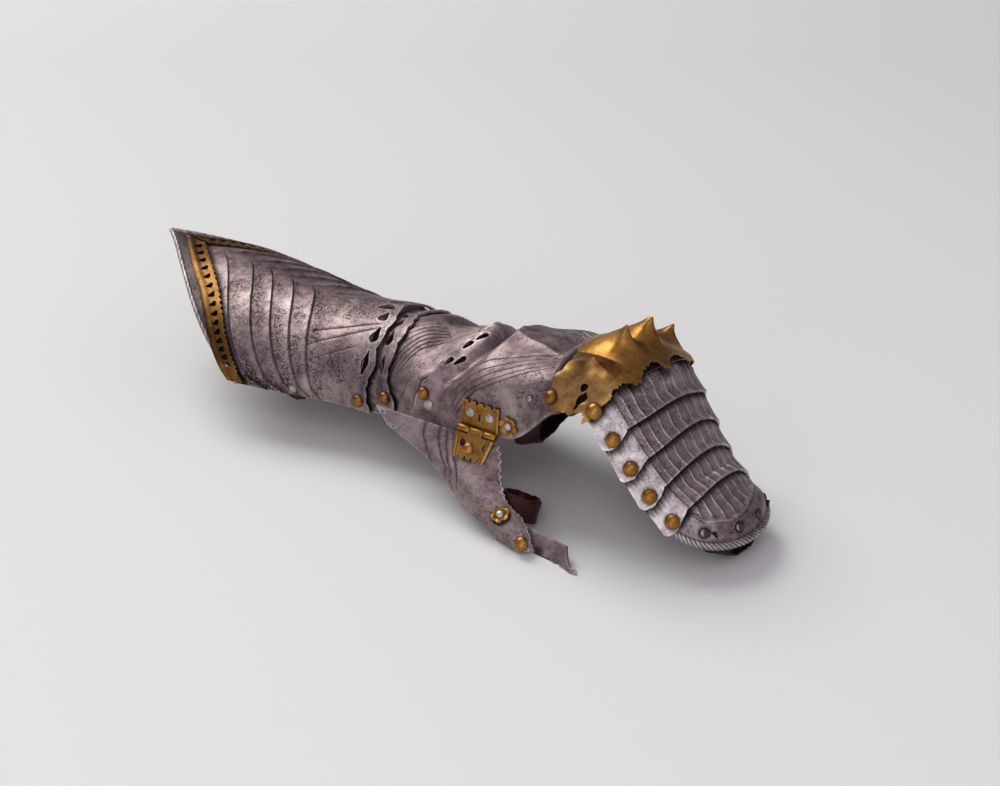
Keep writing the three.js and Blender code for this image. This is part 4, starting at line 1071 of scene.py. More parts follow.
def rear_curve(level):
    us = np.linspace(rear.u(1.5), rear.u(3.3), 60)
    vs = level * np.exp(-(us - rear.u(2.1)) / REAR_REACH)
    keep = (vs < 0.6) & (vs > 0.05)
    return np.stack([us[keep], vs[keep]], -1)


def rear_shade_and_dirt(u, v):
    # Darker along the fan lines, and painted shade where the wrist lame and the front plate lie over this
    # plate
    hidden = np.maximum(shade_under_edge(rear, wrist_front_line)(u, v), shade_under_edge(rear, front_rear_line, -1.0)(u, v))
    return np.maximum(0.75 * rear_lines(u, v), hidden)


def front_rear_edge(v):
    base = np.interp(abs(v), [0, 0.1, 0.18, 0.25, 0.37, 0.55, 0.7, 0.8, 1],
                     [1.6, 0.2, -1.5, -2.5, -3.0, -3.6, -3.2, -1.5, -1])
    return base - scallop(v, [0.0, 0.1, 0.19, 0.28, 0.4, 0.5, 0.62, 0.72, 1.0], 1.2, 0.7)


TEARS = [drop_hole(float(front.u(0)) - 1.0, -0.395, front.girth, 5.4, 3.0, -12, -0.4, 0.15, 2),
         drop_hole(float(front.u(0.8)), -0.35, front.girth, 5.6, 3.2, -22, -0.4, 0.15, 2),
         drop_hole(0.2, -0.225, front.girth, 4.8, 2.8, -14, -0.4, 0.15, 2),
         drop_hole(float(front.u(0.5)), -0.135, front.girth, 4.8, 2.8, -24, -0.4, 0.15, 2)]


def front_outline():
    low = [(u, -1 - 0.14 * float(smooth((front.u(3.4) - u) / 8))) for u in np.linspace(front.length, 0, 60)]
    return run(front_rear_edge, -1.14, 1, 240) + run(lambda v: front.length, 1, -1, 80) + low[1:]


# Lines that fan out over the front plate, as (place at the rear, place at the front, power)
FRONT_LINES = ((0.655, 0.2, 0.55), (0.74, 0.27, 0.6), (0.83, 0.34, 0.6), (0.93, 0.42, 0.55),
               (1.02, 0.5, 0.45))
FRONT_SPAN = front.u(5) - front.u(2)


def front_line(k, start, end, lift):
    late = 0.05 + (start - 0.65) * 0.55
    return mix(start, end, np.clip((k - late) / (1 - late), 0, 1) ** lift)


def front_lines(u, v):
    share = np.abs(v)
    k = (u - front.u(2)) / FRONT_SPAN
    depth = np.zeros_like(u)
    for start, end, lift in FRONT_LINES:
        line = tent((share - front_line(k, start, end, lift)) * front.girth, LINE_WIDTH)
        ends = smooth((k - (start - 0.62) * 0.55) / 0.08) * smooth((1.04 - k) / 0.1)
        depth = np.maximum(depth, line * ends)
    return depth


# Ridges of the front plate: ribs along, places round it, height
RIDGES = (([2.6, 2.93, 4.07, 5.89, 7], [-0.035, -0.047, -0.147, -0.286, -0.37], 0.7),
          ([2.6, 2.93, 4.15, 5.89, 7], [0.0, 0.02, 0.1, 0.22, 0.3], 0.6))
front_creases = [[(float(front.u(t)), v) for t, v in zip(ts, vs)] for ts, vs, _ in RIDGES]


def front_ridges(u, v):
    lift = np.zeros_like(u)
    for ts, vs, height in RIDGES:
        centre = np.interp(u, front.u(np.array(ts)), vs)
        rise = smooth((u - front.u(2.6)) / 9)
        lift = np.maximum(lift, height * rise * tent(v - centre, 0.075) ** 1.6)
    return lift


front_rear_line = curve(front, front_rear_edge)
fan_lines = [curve_points * [1, side] for level in REAR_LEVELS for side in (-1, 1)
             for curve_points in [rear_curve(level)] if len(curve_points) > 4]
# Painted shadow beside the wrist lame's front edge and the front plate's rear edge
piece = sheet("rear_metacarpal_look", rear,
              run(lambda v: 0.0, -1.16, 1, 120) + run(lambda v: rear.length, 1, -1.16, 120), (),
              lambda u, v: -0.3 * rear_lines(u, v), gap=(1.1, 1.1), material=STEEL, lines=fan_lines,
              shade_and_dirt=rear_shade_and_dirt, edge_wear_and_highlight=0.3,
              under=[(wrist_front_line(EDGE_V), 1.8, 1.0), (front_rear_line(EDGE_V), 1.8, 0.9)])
finish_piece(piece, "hand", "rear_metacarpal_plate")
front_cuts = []
for start, end, lift in FRONT_LINES:
    for side in (-1, 1):
        front_cuts.append([(float(front.u(2) + k * FRONT_SPAN),
                            side * float(front_line(k, start, end, lift)))
                           for k in np.linspace(0.02 + (start - 0.62) * 0.55, 1.0, 50)])
# Darker along the fanned lines; painted shadow beside the cover's rear edge and painted shade round the
# metacarpal rivets
piece = sheet("front_metacarpal_look", front, front_outline(), TEARS + [mirrored(h) for h in TEARS],
              lambda u, v: front_ridges(u, v) - 0.35 * front_lines(u, v), gap=(1.1, 1.0), material=STEEL,
              shade_and_dirt=lambda u, v: 0.7 * front_lines(u, v), edge_gap=0.5, lines=front_cuts + front_creases,
              under=[(curve(cover, cover_rear)(EDGE_V), 3.3, 1.2)], edge_wear_and_highlight=0.45,
              spots=[(seat_of(PALM, 24, AT_PALM, side)[0], 2.9) for side in (-1, 1)])
finish_piece(piece, "hand", "front_metacarpal_plate")

# Knuckle plate below, brass cover with four spiked knuckles above
# Painted shade over the knuckle plate beyond its first 5 mm, where it lies under the cover
piece = sheet("knuckle_plate_look", knuckle, run(lambda v: 0.0, -0.95, 0.95, 80)
              + run(lambda v: knuckle.length - 2, 0.95, -0.95, 80), (), gap=(1.6, 1.6), material=STEEL,
              shade_and_dirt=lambda u, v: 0.97 * smooth(u / 5), edge_wear_and_highlight=0.3)
finish_piece(piece, "knuckle", "knuckle_plate")
angle = around(60)
radius = 1.5 + 1.5 * np.abs(np.cos(1.5 * angle)) ** 0.8 + 1.6 * bell(angle, math.pi, 0.28)
trefoil = [(float(cover.u(2.3)) + 1.1 * r * math.sin(a), -0.905 - 1.35 * r * math.cos(a) / cover.girth)
           for r, a in zip(radius, angle)]
eye = round_hole(cover, float(cover.u(2.14)), -0.788, 3.9)
leaning = Leaning(cover, cover_relief)
crests = [[(u, c) for u in np.linspace(CROWN_U - 16, CROWN_U + 11, 30)] for c, _ in SPIKES]
knuckle_seats = [(seat_of(KNUCKLE, -24, AT_KNUCKLE, side), 3.3) for side in (-1, 1)]
knuckle_seats += [(seat_of(FINGERS[0], 32, AT_FINGERS, side), 3.7) for side in (-1, 1)]
cover_outline = (run(cover_rear, -1, 1, 200) + run(cover_front, 1, -1, 360)
                 + [(float(cover.u(t)), -cover_low(t)) for t in np.linspace(4.95, 0.4, 90)][1:-1])
# Painted shade round the knuckle rivets
piece = sheet("knuckle_cover_look", leaning, cover_outline, [eye, trefoil, mirrored(eye)], cover_relief,
              BRASS_WALL, (0.75, 0.75), BRASS, sharp=60, edge_gap=0.4, lines=crests, line_width=0.35,
              edge_wear_and_highlight=0.8, wear_and_highlight=cover_lit_side_and_wear,
              spots=[(seat + out * COVER_LIFT, r) for (seat, out), r in knuckle_seats])
finish_piece(piece, "knuckle", "knuckle_cover")

# Finger lames: flutes on the arch, plain flanges brightened with painted reflection
FLUTE_COUNT, FLUTE_DEPTH, REAR_HIDDEN = 11, 0.5, 4.0
FLUTE_PLACES = FOLD_SHARE * (2 * np.arange(FLUTE_COUNT + 1) / FLUTE_COUNT - 1)


def flute_phase(v):
    return (v / FOLD_SHARE + 1) * FLUTE_COUNT / 2


def flutes(u, v):
    cup = np.sqrt(np.clip(1 - (2 * (flute_phase(v) % 1) - 1) ** 2, 0, 1))
    return -FLUTE_DEPTH * cup * smooth((FOLD_SHARE - np.abs(v)) / 0.03)


def flute_painted_shade(u, v):
    # Painted shade just beside each flute's ridge
    return 0.35 * bell(flute_phase(v) % 1, 0.13, 0.07) * (np.abs(v) < FOLD_SHARE)


def flute_highlight_and_wear(u, v):
    # A faint brightening over the arch with a painted highlight on each ridge, and a strong painted
    # reflection on the flanges
    arch = 0.2 + 0.4 * bell(np.abs((flute_phase(v) + 0.5) % 1 - 0.5), 0, 0.06)
    return np.where(np.abs(v) < FOLD_SHARE + 0.01, arch, 0.8)


def flute_ridges(length):
    return [[(u, p) for u in np.linspace(-2.5, length + 0.5, 16)] for p in FLUTE_PLACES]


def lame_rear(v):
    return -REAR_HIDDEN * smooth((0.85 - abs(v)) / 0.3)


# Front edges of the lames: ribs along for places round them, and how far the tabs reach past the last rib
LAME_FRONTS = [
    ([-0.797, -0.6, -0.44, -0.05, 0.15, 0.3, 0.55, 0.797], [3.8, 4.2, 4.35, 4.16, 4.1, 4.2, 4.2, 3.8]),
    ([-0.784, -0.6, -0.46, -0.055, 0.2, 0.415, 0.6, 0.784], [4.4, 4.42, 4.35, 3.82, 3.55, 3.6, 3.9, 4.1]),
    ([-0.795, -0.6, -0.46, -0.07, 0.226, 0.45, 0.6, 0.795], [4.4, 4.2, 4.05, 3.66, 3.4, 3.4, 3.5, 3.9]),
    ([-0.79, -0.6, -0.478, -0.07, 0.32, 0.5, 0.6, 0.79], [4.4, 4.45, 4.45, 4.1, 3.7, 3.7, 3.8, 4.0])]
LAME_TABS = [([0.8, 0.83, 0.86, 0.9, 0.96, 1.0], [-2.5, 0, 2.2, 3.5, 3.2, 1.0]),
             ([0.79, 0.81, 0.856, 0.92, 0.98, 1.0], [-1.5, -0.3, 3.0, 4.6, 4.0, 2.2]),
             ([0.8, 0.82, 0.85, 0.92, 0.98, 1.0], [-1.5, 1.0, 3.6, 4.6, 4.0, 1.3]),
             ([0.795, 0.818, 0.88, 0.937, 0.98, 1.0], [-1.2, 0.5, 3.8, 4.6, 4.0, 2.5])]


def lame_front(i, v):
    if abs(v) < LAME_TABS[i][0][0]:
        return float(lames[i].u(np.interp(v, *LAME_FRONTS[i])))
    return lames[i].length + float(np.interp(abs(v), *LAME_TABS[i]))


def lame_edge(i):
    return curve(lames[i], lambda v: lame_front(i, v))(EDGE_V)


for i, lame in enumerate(lames):
    above = curve(cover, cover_front)(EDGE_V) if i == 0 else lame_edge(i - 1)
    seats = [seat_of(FINGERS[i + 1], LEAN_OF[i + 1], LAME_SIZES[i], side)[0] for side in (-1, 1)]
    # Painted shadow ahead of the plate above, painted shade round the rivets
    piece = sheet(f"finger_lame_{i + 1}_look", lame, run(lambda v: lame_rear(v) if i else 0.0, -1, 1, 90)
                  + run(lambda v: lame_front(i, v), 1, -1, 260), (), flutes, gap=(1.5, 0.8), material=STEEL,
                  shade_and_dirt=flute_painted_shade, lines=flute_ridges(lame.length), line_width=0.3, wear_and_highlight=flute_highlight_and_wear,
                  under=[(above, 3.4 if i == 0 else 2.4, 1.9)], spots=[(seat, 3.5) for seat in seats])
    finish_piece(piece, f"lame_{i + 1}", f"finger_lame_{i + 1}")

# The double line on the fingertip plate: ribs along for places round it
TIP_LINE = ([-0.83, -0.61, -0.317, -0.072, 0.224, 0.45, 0.8], [1.6, 3.66, 4.06, 3.73, 2.9, 2.2, 1.2])


def tip_line(v):
    return fingertip.u(np.interp(v, *TIP_LINE))


def tip_relief(u, v):
    edge = tip_line(v)
    on = smooth((edge - 0.6 - u) / 1.2)
    return flutes(u, v) * on + 0.55 * bell(u, edge, 0.5) + 0.4 * bell(u, edge + 1.8, 0.45)


def tip_painted_shade(u, v):
    # Painted shade beside the flute ridges and in the hollows beside the double line
    edge = tip_line(v)
    lines = bell(u, edge + 0.9, 0.4) + bell(u, edge + 2.6, 0.4)
    return np.maximum(flute_painted_shade(u, v) * (u < edge), 0.5 * lines)


def tip_highlight_and_wear(u, v):
    # Flutes as on the lames, a painted highlight on the double line's first ridge and painted reflection on
    # the sides
    edge = tip_line(v)
    return np.where(u < edge, flute_highlight_and_wear(u, v), 0.45 * bell(u, edge, 0.6) + 0.3 * (np.abs(v) > 0.5))


double_line = [[(float(tip_line(v)) + d, float(v)) for v in np.linspace(-0.82, 0.8, 70)] for d in (0.0, 1.8)]
tip_ridges = [[(u, p) for u in np.linspace(0.5, float(tip_line(p)) - 1.4, 12)] for p in FLUTE_PLACES[1:-1]]
LINING_PLACES = (-0.62, -0.22, 0.12, 0.56)
studs = [seat_on(fingertip, 4.9, v) for v in LINING_PLACES]
# Painted shadow ahead of the last lame and painted shade round the lining rivets
piece = sheet("fingertip_look", fingertip,
              run(lame_rear, -1, 1, 90) + run(lambda v: fingertip.length - 0.3, 1, -1, 90), (), tip_relief,
              gap=(1.2, 0.8), material=STEEL, shade_and_dirt=tip_painted_shade, wear_and_highlight=tip_highlight_and_wear, line_width=0.35,
              lines=tip_ridges + double_line, under=[(lame_edge(3), 2.2, 1.7)],
              spots=[(seat, 2.6) for seat, _ in studs])
finish_piece(piece, "fingertip", "fingertip_plate")
rope_v = np.linspace(-0.97, 0.8, 700)
rim = pipe("fingertip_roped_rim", rim_point(rope_v), 1.9, STEEL, 30, 1.43, 0.16, 5)
finish_piece(rim, "fingertip", None)


# Thumb plate and its tip lame. Its creases are (rib, place) pairs
CREASES = [[(-0.2, -0.17), (0.8, -0.31), (1.81, -0.476), (2.5, -0.72), (3.14, -1.0)],
           [(-0.2, 0.066), (0.9, -0.06), (1.99, -0.218), (3.0, -0.54), (3.91, -0.956)],
           [(-0.2, 0.185), (0.9, 0.07), (2.02, -0.081), (3.2, -0.47), (4.37, -0.974)],
           [(0.51, 0.25), (1.5, 0.13), (2.58, -0.066), (3.5, -0.36), (4.32, -0.73)]]


def thumb_lines(u, v):
    depth = np.zeros_like(u)
    for crease in CREASES:
        ts, places = zip(*crease)
        centre = np.interp(u, thumb.u(np.array(ts)), places)
        fade = smooth((thumb.u(ts[-1]) - u) / 3)
        depth = np.maximum(depth, tent((v - centre) * thumb.girth, 0.9) * fade)
    return depth


thumb_creases = [[(float(thumb.u(max(t, 0.02))), v) for t, v in crease] for crease in CREASES]


def thumb_low(u):
    """The near edge, with the pointed lobe above its lower end."""
    return -1 - 0.4 * max(0.0, 1 - abs(u - thumb.u(7.35)) / 3.2) - 0.012 * math.sin(u * 0.9)


def thumb_high(u):
    """The edge towards the palm, notched where it is worn."""
    worn = float(smooth((u - thumb.u(4.6)) / 4))
    return 1.0 + 0.02 * math.sin(u * 1.3) - 0.045 * worn * abs(math.sin(u * 1.9))


thumb_outline = ([(0.0, v) for v in np.linspace(-1, 1, 60)]
                 + [(u, thumb_high(u)) for u in np.linspace(0, thumb.length, 140)][1:]
                 + [(thumb.length + 1.3 * abs(math.sin(v * 4.2)) - 0.8, v)
                    for v in np.linspace(0.97, -1, 40)]
                 + [(u, thumb_low(u)) for u in np.linspace(thumb.length, 0, 140)][1:-1])
hinge_line = HINGE + np.linspace(-11, 11, 40)[:, None] * ALONG
rosette_seat, lower_rivet_seat = seat_on(thumb, 5.55, 0.33), on_thumb(-1, LOWER_LEAF * 0.62, 1.0)
# Darker along the creases; painted shadow under the hinge and painted shade round the rosette and the lower
# hinge rivet
piece = sheet("thumb_plate_look", thumb, thumb_outline,
              [round_hole(thumb, u, v, 1.4) for u, v in ((2.2, -0.93), (9.0, -0.9))],
              lambda u, v: -0.4 * thumb_lines(u, v), gap=(1.0, 1.0), material=STEEL, edge_wear_and_highlight=0.8,
              shade_and_dirt=lambda u, v: 0.75 * thumb_lines(u, v), lines=thumb_creases, line_width=0.45,
              under=[(hinge_line, 1.5, 3.5)], spots=[(rosette_seat[0], 4.6), (lower_rivet_seat, 5.5)])
finish_piece(piece, "thumb", "thumb_plate")
TIP_OUTLINE = [(32, 34), (39.6, 33.8), (48.6, 34.7), (59.7, 35.6), (61.7, 39.4), (63.7, 42.5), (65.7, 44.2),
               (68, 44.1), (69.5, 44.9), (69.5, 46), (67.2, 47), (62.9, 46), (55.2, 45.75), (48.1, 45.3),
               (41.1, 43.35), (33, 42)]
thumb_end = thumb(np.full(60, thumb.length), np.linspace(-1, 1, 60))
tip_hole = [(-65.9 + 0.6 * math.cos(a), 45.2 + 0.5 * math.sin(a)) for a in np.linspace(0, 5.6, 9)]
# Painted shadow beside the end of the thumb plate, which lies over this lame
piece = sheet("thumb_tip_look", TipLame(), [(-a, b) for a, b in TIP_OUTLINE], [tip_hole],
              lambda u, v: 0.5 * smooth((-u - 64) / 3), gap=(0.9, 0.9), material=STEEL,
              under=[(thumb_end, 3.0, 2.0)], edge_wear_and_highlight=0.7)
finish_piece(piece, "thumb_tip", "thumb_tip_lame")


# Hinge: two pierced leaves, three barrels and the pin
def leaf(name, surface, height, taper, node_name, body, lower):
    half = HINGE_LENGTH / 2
    ends, gap = (HINGE_LENGTH - MIDDLE_LENGTH) / 2, BARREL + SEAT_GAP
    top = []
    for x in np.linspace(half, -half, 80):
        bite = max(0, 1 - abs((x / (half * 0.62) % 0.667) - 0.333) / 0.13) if abs(x) < half * 0.8 else 0
        y = height - 1.5 * min(1, bite * 1.6) ** 0.5
        top.append((x * mix(1, taper, y / height), y))
    outer, inner = (gap, 0.2) if lower else (0.2, gap)
    slant = 0.3 if lower else 0.0
    base = [(-half, outer), (-half + ends, outer), (-half + ends + slant, inner),
            (half - ends - slant, inner), (half - ends, outer), (half, outer)]
    outline = base + top
    if lower:
        holes = [oval(5.0, 6.3, 1.5, 1.8, 16), oval(-6.8, 6.0, 1.3, 1.7, 16)]
    else:
        holes = [[(-0.1 - 0.9 * math.cos(a), 7.6 + 2.0 * math.sin(a) * (1 - 0.4 * math.sin(a)))
                  for a in around(16)]]
        outline = [(-x, y) for x, y in outline]

    def from_side(x, y):
        return half * mix(1, taper, np.clip(y / height, 0, 1)) - np.abs(x)

    def relief(x, y):
        return 0.45 * bell(from_side(x, y), 0.8, 0.45) + 0.25 * bell(from_side(x, y), 2.1, 0.35)

    # Painted shade in bands beside the leaf's mouldings
    def dark(x, y):
        return 0.6 * bell(from_side(x, y), 1.5, 0.3) + 0.3 * bell(from_side(x, y), 2.7, 0.3)
    piece = sheet(name, surface, outline, holes, relief, LEAF_WALL, (0.45, 0.45), BRASS, shade_and_dirt=dark,
                  edge_gap=0.3)
    return finish_piece(piece, body, node_name)


upper_face = Flat(HINGE + np.array([0, BARREL - LEAF_WALL, 0.0]), ALONG, [0, 0, 1])
lower_face = Flat(HINGE + OUT * BARREL, -ALONG, DOWN)
leaf("hinge_upper_look", upper_face, UPPER_LEAF, 0.96, "hinge_upper_leaf", "hand", False)
leaf("hinge_lower_look", lower_face, LOWER_LEAF, 0.8, "hinge_lower_leaf", "thumb", True)


def hinge_part(name, profile, sides, body, node_name):
    points, faces = turned(profile, HINGE, ALONG, sides)
    finish_piece(mesh_object(name, place(points), faces, BRASS, 40), body, node_name)


def barrel(name, low, high, body):
    profile = [(0.82, low), (BARREL - 0.15, low), (BARREL, low + 0.2), (BARREL, high - 0.2),
               (BARREL - 0.15, high), (0.82, high)]
    hinge_part(name, profile, 28, body, None)


half, middle = HINGE_LENGTH / 2, MIDDLE_LENGTH / 2
barrel("hinge_ear_rear", -half, -middle - 0.15, "hand")
barrel("hinge_ear_front", middle + 0.15, half, "hand")
barrel("hinge_middle_barrel", -middle + 0.15, middle - 0.15, "thumb")
hinge_part("hinge_pin_look", [(0.02, -half - 0.5), (0.9, -half - 0.4), (0.8, -half), (0.8, half),
                              (0.9, half + 0.4), (0.02, half + 0.5)], 20, "hand", "hinge_pin")


# Rosettes: six petals round a hole
def petal_gap(x, y, power):
    return np.abs(np.sin(3 * np.arctan2(y, x))) ** power * smooth(np.hypot(x, y) / 2 - 1)


def rosette_relief(x, y):
    return -0.5 * bell(np.hypot(x, y), 2.2, 0.7) - 0.45 * petal_gap(x, y, 6)


def rosette_painted_shade(x, y):
    # Painted shade round the hole and in the gaps between the petals
    return 0.7 * bell(np.hypot(x, y), 2.1, 0.5) + 0.5 * petal_gap(x, y, 14)


ROSETTES = [("front_rosette", "hand", seat_on(front, 3.95, -0.945), 4.8, 2.3),
            ("thumb_rosette", "thumb", rosette_seat, 4.3, 6.7)]
for name, body, (seat, out), size, _ in ROSETTES:
    side = unit(np.cross(out, [0.2, 0.1, 1.0]))
    face = Flat(seat + out * (SLIDE_GAP + BRASS_WALL), side, np.cross(out, side))
    angle = around(120)
    radius = size * (0.78 + 0.22 * np.abs(np.cos(3 * angle)) ** 0.6)
    ring = [(r * math.cos(a), r * math.sin(a)) for r, a in zip(radius, angle)]
    piece = sheet(name + "_look", face, ring, [oval(0, 0, 1.6, 1.6, 20)], rosette_relief, BRASS_WALL - 0.2,
                  (0.35, 0.35), BRASS, shade_and_dirt=rosette_painted_shade, edge_gap=0.3)
    finish_piece(piece, body, name)


# Rivets
def pair(name, at, lean, size, body, head=3.5, height=2.4, depth=WALL + STEP, raised=0.0):
    for side, label in ((-1, "near"), (1, "far")):
        seat, out = seat_of(at, lean, size, side)
        rivet(f"{name}_{label}", seat + out * raised, out, head, height, depth, body, BRASS)


STACK = WALL + STEP
pair("cuff_rivet", CUFF, 0, AT_CUFF, "cuff", 2.9, 2.0, STACK + SLIDE_GAP)
pair("wrist_lame_rivet", LAME, -17, AT_LAME, "wrist_lame", 2.9, 2.0, STACK + SLIDE_GAP)
pair("metacarpal_rivet", PALM, 24, AT_PALM, "hand", 2.9, 2.0, STACK + SLIDE_GAP)
pair("knuckle_rear_rivet", KNUCKLE, -24, AT_KNUCKLE, "knuckle", 3.3, 2.4, STACK + COVER_LIFT + SEAT_GAP,
     COVER_LIFT)
pair("knuckle_front_rivet", FINGERS[0], 32, AT_FINGERS, "knuckle", 3.7, 2.6, STACK + COVER_LIFT, COVER_LIFT)
for i in range(4):
    pair(f"finger_lame_{i + 1}_rivet", FINGERS[i + 1], LEAN_OF[i + 1], LAME_SIZES[i], f"lame_{i + 1}")


def iron(name, seat, out, depth, body, head=2.3):
    return rivet(name, seat, out, head, 0.8, depth, body, IRON, 1.9)


strap_x = CUFF[0] - 35
for side, label in ((-1, "near"), (1, "far")):
    iron(f"metacarpal_lock_rivet_{label}", *seat_on(front, 1, 0.86 * side), STACK, "hand", 2.5)
    iron(f"palm_strap_rivet_{label}", *seat_on(front, 4.4, 0.85 * side), WALL + 3.8, "hand", 1.5)
    seat, out = frame_at(cuff, np.array(strap_x), np.array(0.87 * side))[:2]
    iron(f"cuff_strap_rivet_{label}", seat, out, WALL + 2.2, "cuff")
# The lining rivets' heads get painted shade on the side towards the fingertips, so that they look hollow
for i, (seat, out) in enumerate(studs):
    piece = iron(f"lining_rivet_{i + 1}", seat, out, WALL + (4.4 if i in (0, 3) else 0.6), "fingertip", 2.0)
    corners = np.array([v.co for v in piece.data.vertices]) - place(seat)
    paint(piece, "shade_and_dirt", 0.97 * smooth((corners @ [0.84, 0.5, 0.2] * 1000 + 0.9) / 0.8))
for i, x in enumerate((-5.2, 5.2)):
    iron(f"hinge_rivet_{i + 1}", HINGE + np.array([x, BARREL - LEAF_WALL, UPPER_LEAF * 0.58]),
         np.array([0, -1.0, 0]), 2.6, "hand")
rivet("hinge_rivet_3", on_thumb(-1, LOWER_LEAF * 0.62, BARREL), OUT, 2.9, 2.0, BARREL + WALL, "thumb", BRASS)
for name, body, (seat, out), _, depth in ROSETTES:
    iron(name + "_rivet", seat + out * (SLIDE_GAP + BRASS_WALL - 0.4), out, depth, body, 1.9)
rivet("thumb_tip_rivet", thumb(np.array(thumb.u(7.9)), np.array(0.45)) + OUT * 0.9, OUT, 3.5, 2.4,
      TIP_INSET + WALL + 1.8, "thumb", BRASS, 1.9)


# Leather straps and loops
def strap(name, path, across, width, wall, body, node_name, closed=False):
    """A strip of worn leather along a path; across is the direction of its width at each point."""
    across = unit(across)
    if closed:
        tangent = unit(np.roll(path, -1, axis=0) - np.roll(path, 1, axis=0))
    else:
        tangent = unit(np.gradient(path, axis=0))
    up = unit(np.cross(tangent, across))
    angle = around(28)
    flat = np.sign(np.cos(angle)) * np.abs(np.cos(angle)) ** 0.4
    thick = np.sign(np.sin(angle)) * np.abs(np.sin(angle)) ** 0.7
    rings = []
    for i, point in enumerate(path):
        phase = i / len(path) * 2 * math.pi
        half = width / 2 * (1 + 0.035 * math.sin(5 * phase + 1) + 0.02 * math.sin(13 * phase))
        curl = 0.35 * flat ** 2 + 0.16 * np.sin(7 * phase + 4 * flat) + 0.1 * np.sin(17 * phase - 3 * flat)
        rings.append(point + (half * flat)[:, None] * across[i] + (wall / 2 * thick + curl)[:, None] * up[i])
    points, faces = sweep_mesh(rings + rings[:1] if closed else rings, not closed)
    return finish_piece(mesh_object(name, place(points), faces, LEATHER, 60), body, node_name)


def hanging(seats, inset, bottom, across, power=2.6, skew=1.0):
    """A strap's path from inside one seat down to the bottom and up to inside the other seat.

    With a low skew it sags near the first seat.
    """
    (a, a_out), (b, b_out) = seats
    a, b = a - a_out * inset, b - b_out * inset
    share = (np.linspace(-1, 1, 80) + 1) / 2
    line = a + (b - a) * share[:, None]
    drop = (1 - np.abs(2 * share ** skew - 1) ** power)[:, None]
    bottom = np.asarray(bottom, float)
    middle = a + (b - a) * ((bottom - a)[1] / (b - a)[1])
    return line + (bottom - middle) * drop * [1, 0, 1], np.tile(across, (80, 1))


strap("palm_strap_look", *hanging([seat_on(front, 4.4, s * 0.85) for s in (-1, 1)], 3.0, (36, -6.5, 31),
                                  (0.93, 0, 0.36), power=2, skew=0.3), 13, 1.9, "hand", "palm_strap")
strap("finger_loop_look", *hanging([studs[0], studs[-1]], 3.2, (133, -16, 0.9), (0.98, 0, 0.2)), 12, 1.8,
      "fingertip", "finger_loop")
angle = around(72)
ring = on_thumb(25.5 + 9.0 * np.cos(angle) * (1 + 0.06 * np.sin(2 * angle)),
                26.5 + 0.8 * np.sin(angle + 0.5),
                -11.8 + 9.0 * np.sin(angle) * (1 + 0.05 * np.cos(3 * angle)))
strap("thumb_loop_look", ring, np.tile(DOWN, (72, 1)), 11, 2.0, "thumb", "thumb_loop", closed=True)
share = np.linspace(0, 1, 24)[:, None]
seat, out = rosette_seat
tab = mix(on_thumb(20.5, 26.5, -4.2), seat - out * 3.0 + DOWN * 2.5, share)
tab -= OUT * 0.9 * np.sin(share * math.pi)
strap("thumb_loop_tab", tab, np.tile(unit(np.cross(tab[-1] - tab[0], OUT)), (24, 1)), 7.5, 1.8,
      "thumb", None)
under_cuff = Cuff(-WALL - 0.6)
for side, label, low in ((-1, "near", 1.14), (1, "far", 0.97)):
    corners = [(-5.4, 0.8), (5.4, 0.8), (5.3, low - 0.05), (1.0, low), (-5.2, low - 0.12)]
    piece = sheet(f"cuff_strap_{label}_look", under_cuff, [(strap_x + x, side * v) for x, v in corners], (),
                  lambda x, v: 0.12 * np.sin(x * 2.1) - 0.1, 1.5, (0.8, 0.8), LEATHER)
    finish_piece(piece, "cuff", f"cuff_strap_stub_{label}")

# Stage: a pale floor with painted light, its colour growing a little lighter towards the camera
bpy.ops.mesh.primitive_plane_add(size=6, location=(0, 0, 0))
floor = bpy.context.object
floor.name = "table_top"
paper = bpy.data.materials.new("pale_table")
paper.use_nodes = True
tree = paper.node_tree
shader = tree.nodes["Principled BSDF"]
towards = node(tree, "ShaderNodeVectorMath", operation="DOT_PRODUCT")
tree.links.new(node(tree, "ShaderNodeTexCoord").outputs["Object"], towards.inputs[0])
towards.inputs[1].default_value = (0.545, -0.839, 0)
share = node(tree, "ShaderNodeMapRange", From_Min=-0.5, From_Max=0.35)
tree.links.new(towards.outputs["Value"], share.inputs["Value"])
floor_painted_light = ramp(tree, share.outputs["Result"], [(0.0, (0.7, 0.715, 0.685)), (1.0, (0.92, 0.935, 0.895))])
tree.links.new(floor_painted_light, shader.inputs["Base Color"])
shader.inputs["Roughness"].default_value = 0.85
shader.inputs["Specular IOR Level"].default_value = 0.1
floor.data.materials.append(paper)

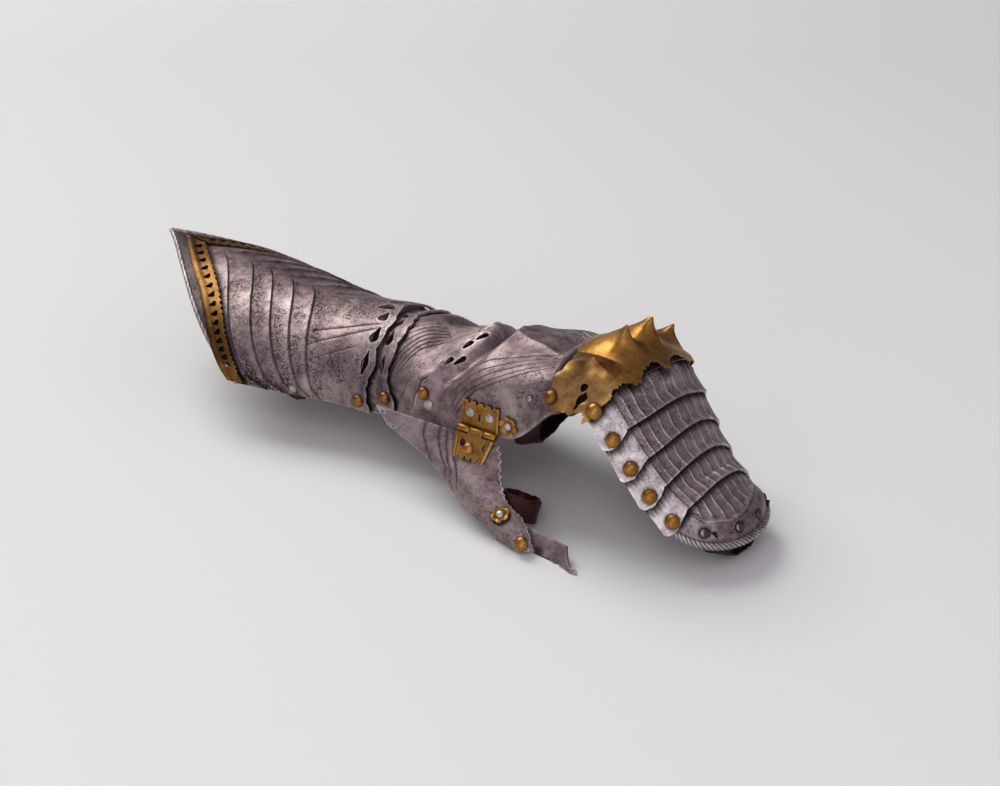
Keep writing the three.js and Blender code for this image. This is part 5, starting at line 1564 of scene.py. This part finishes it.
# Light: a faint sky, brighter on the camera's side, and three soft lamps
world = bpy.data.worlds.new("studio")
bpy.context.scene.world = world
world.use_nodes = True
sky = world.node_tree
facing = node(sky, "ShaderNodeVectorMath", operation="DOT_PRODUCT")
sky.links.new(node(sky, "ShaderNodeTexCoord").outputs["Generated"], facing.inputs[0])
facing.inputs[1].default_value = (0.5, -0.74, 0.45)
level = node(sky, "ShaderNodeMapRange", From_Min=-0.3, From_Max=1.0, To_Min=0.2, To_Max=0.58)
sky.links.new(facing.outputs["Value"], level.inputs["Value"])
sky.links.new(level.outputs["Result"], sky.nodes["Background"].inputs["Strength"])
sky.nodes["Background"].inputs["Color"].default_value = (0.89, 0.82, 0.97, 1)


def lamp(name, location, target, size, power, colour):
    data = bpy.data.lights.new(name, "AREA")
    data.shape, data.size, data.energy, data.color = "DISK", size, power, colour
    made = bpy.data.objects.new(name, data)
    made.location = location
    made.rotation_euler = (Vector(target) - Vector(location)).to_track_quat("-Z", "Y").to_euler()
    bpy.context.scene.collection.objects.link(made)


lamp("key", (-1.25, 0.4, 1.6), (0, 0, 0.03), 1.4, 28, (1.0, 0.985, 0.95))
lamp("front", (0.25, -1.7, 0.5), (0, 0, 0.06), 0.7, 3.2, (1.0, 0.98, 0.96))
lamp("above", (0.7, -1.25, 1.5), (0.1, -0.1, 0), 1.0, 4, (1.0, 0.98, 0.97))

# Camera: the photo's angle, with the photo's focal length in its own pixels
FOCAL_PIXELS, PHOTO_WIDTH, SENSOR_WIDTH = 2332, 1000, 36
azimuth, elevation, distance = rad(33), rad(30), 1.110
target = Vector((SHIFT[0] / 1000, SHIFT[1] / 1000, 0.0354))
back = Vector((math.sin(azimuth) * math.cos(elevation), -math.cos(azimuth) * math.cos(elevation),
               math.sin(elevation)))
camera = bpy.data.objects.new("camera", bpy.data.cameras.new("camera"))
camera.location = target + back * distance
camera.rotation_euler = back.to_track_quat("Z", "Y").to_euler()
camera.data.sensor_width = SENSOR_WIDTH
camera.data.lens = FOCAL_PIXELS * SENSOR_WIDTH / PHOTO_WIDTH
bpy.context.scene.collection.objects.link(camera)
bpy.context.scene.camera = camera
bpy.context.scene.view_settings.view_transform = "Standard"
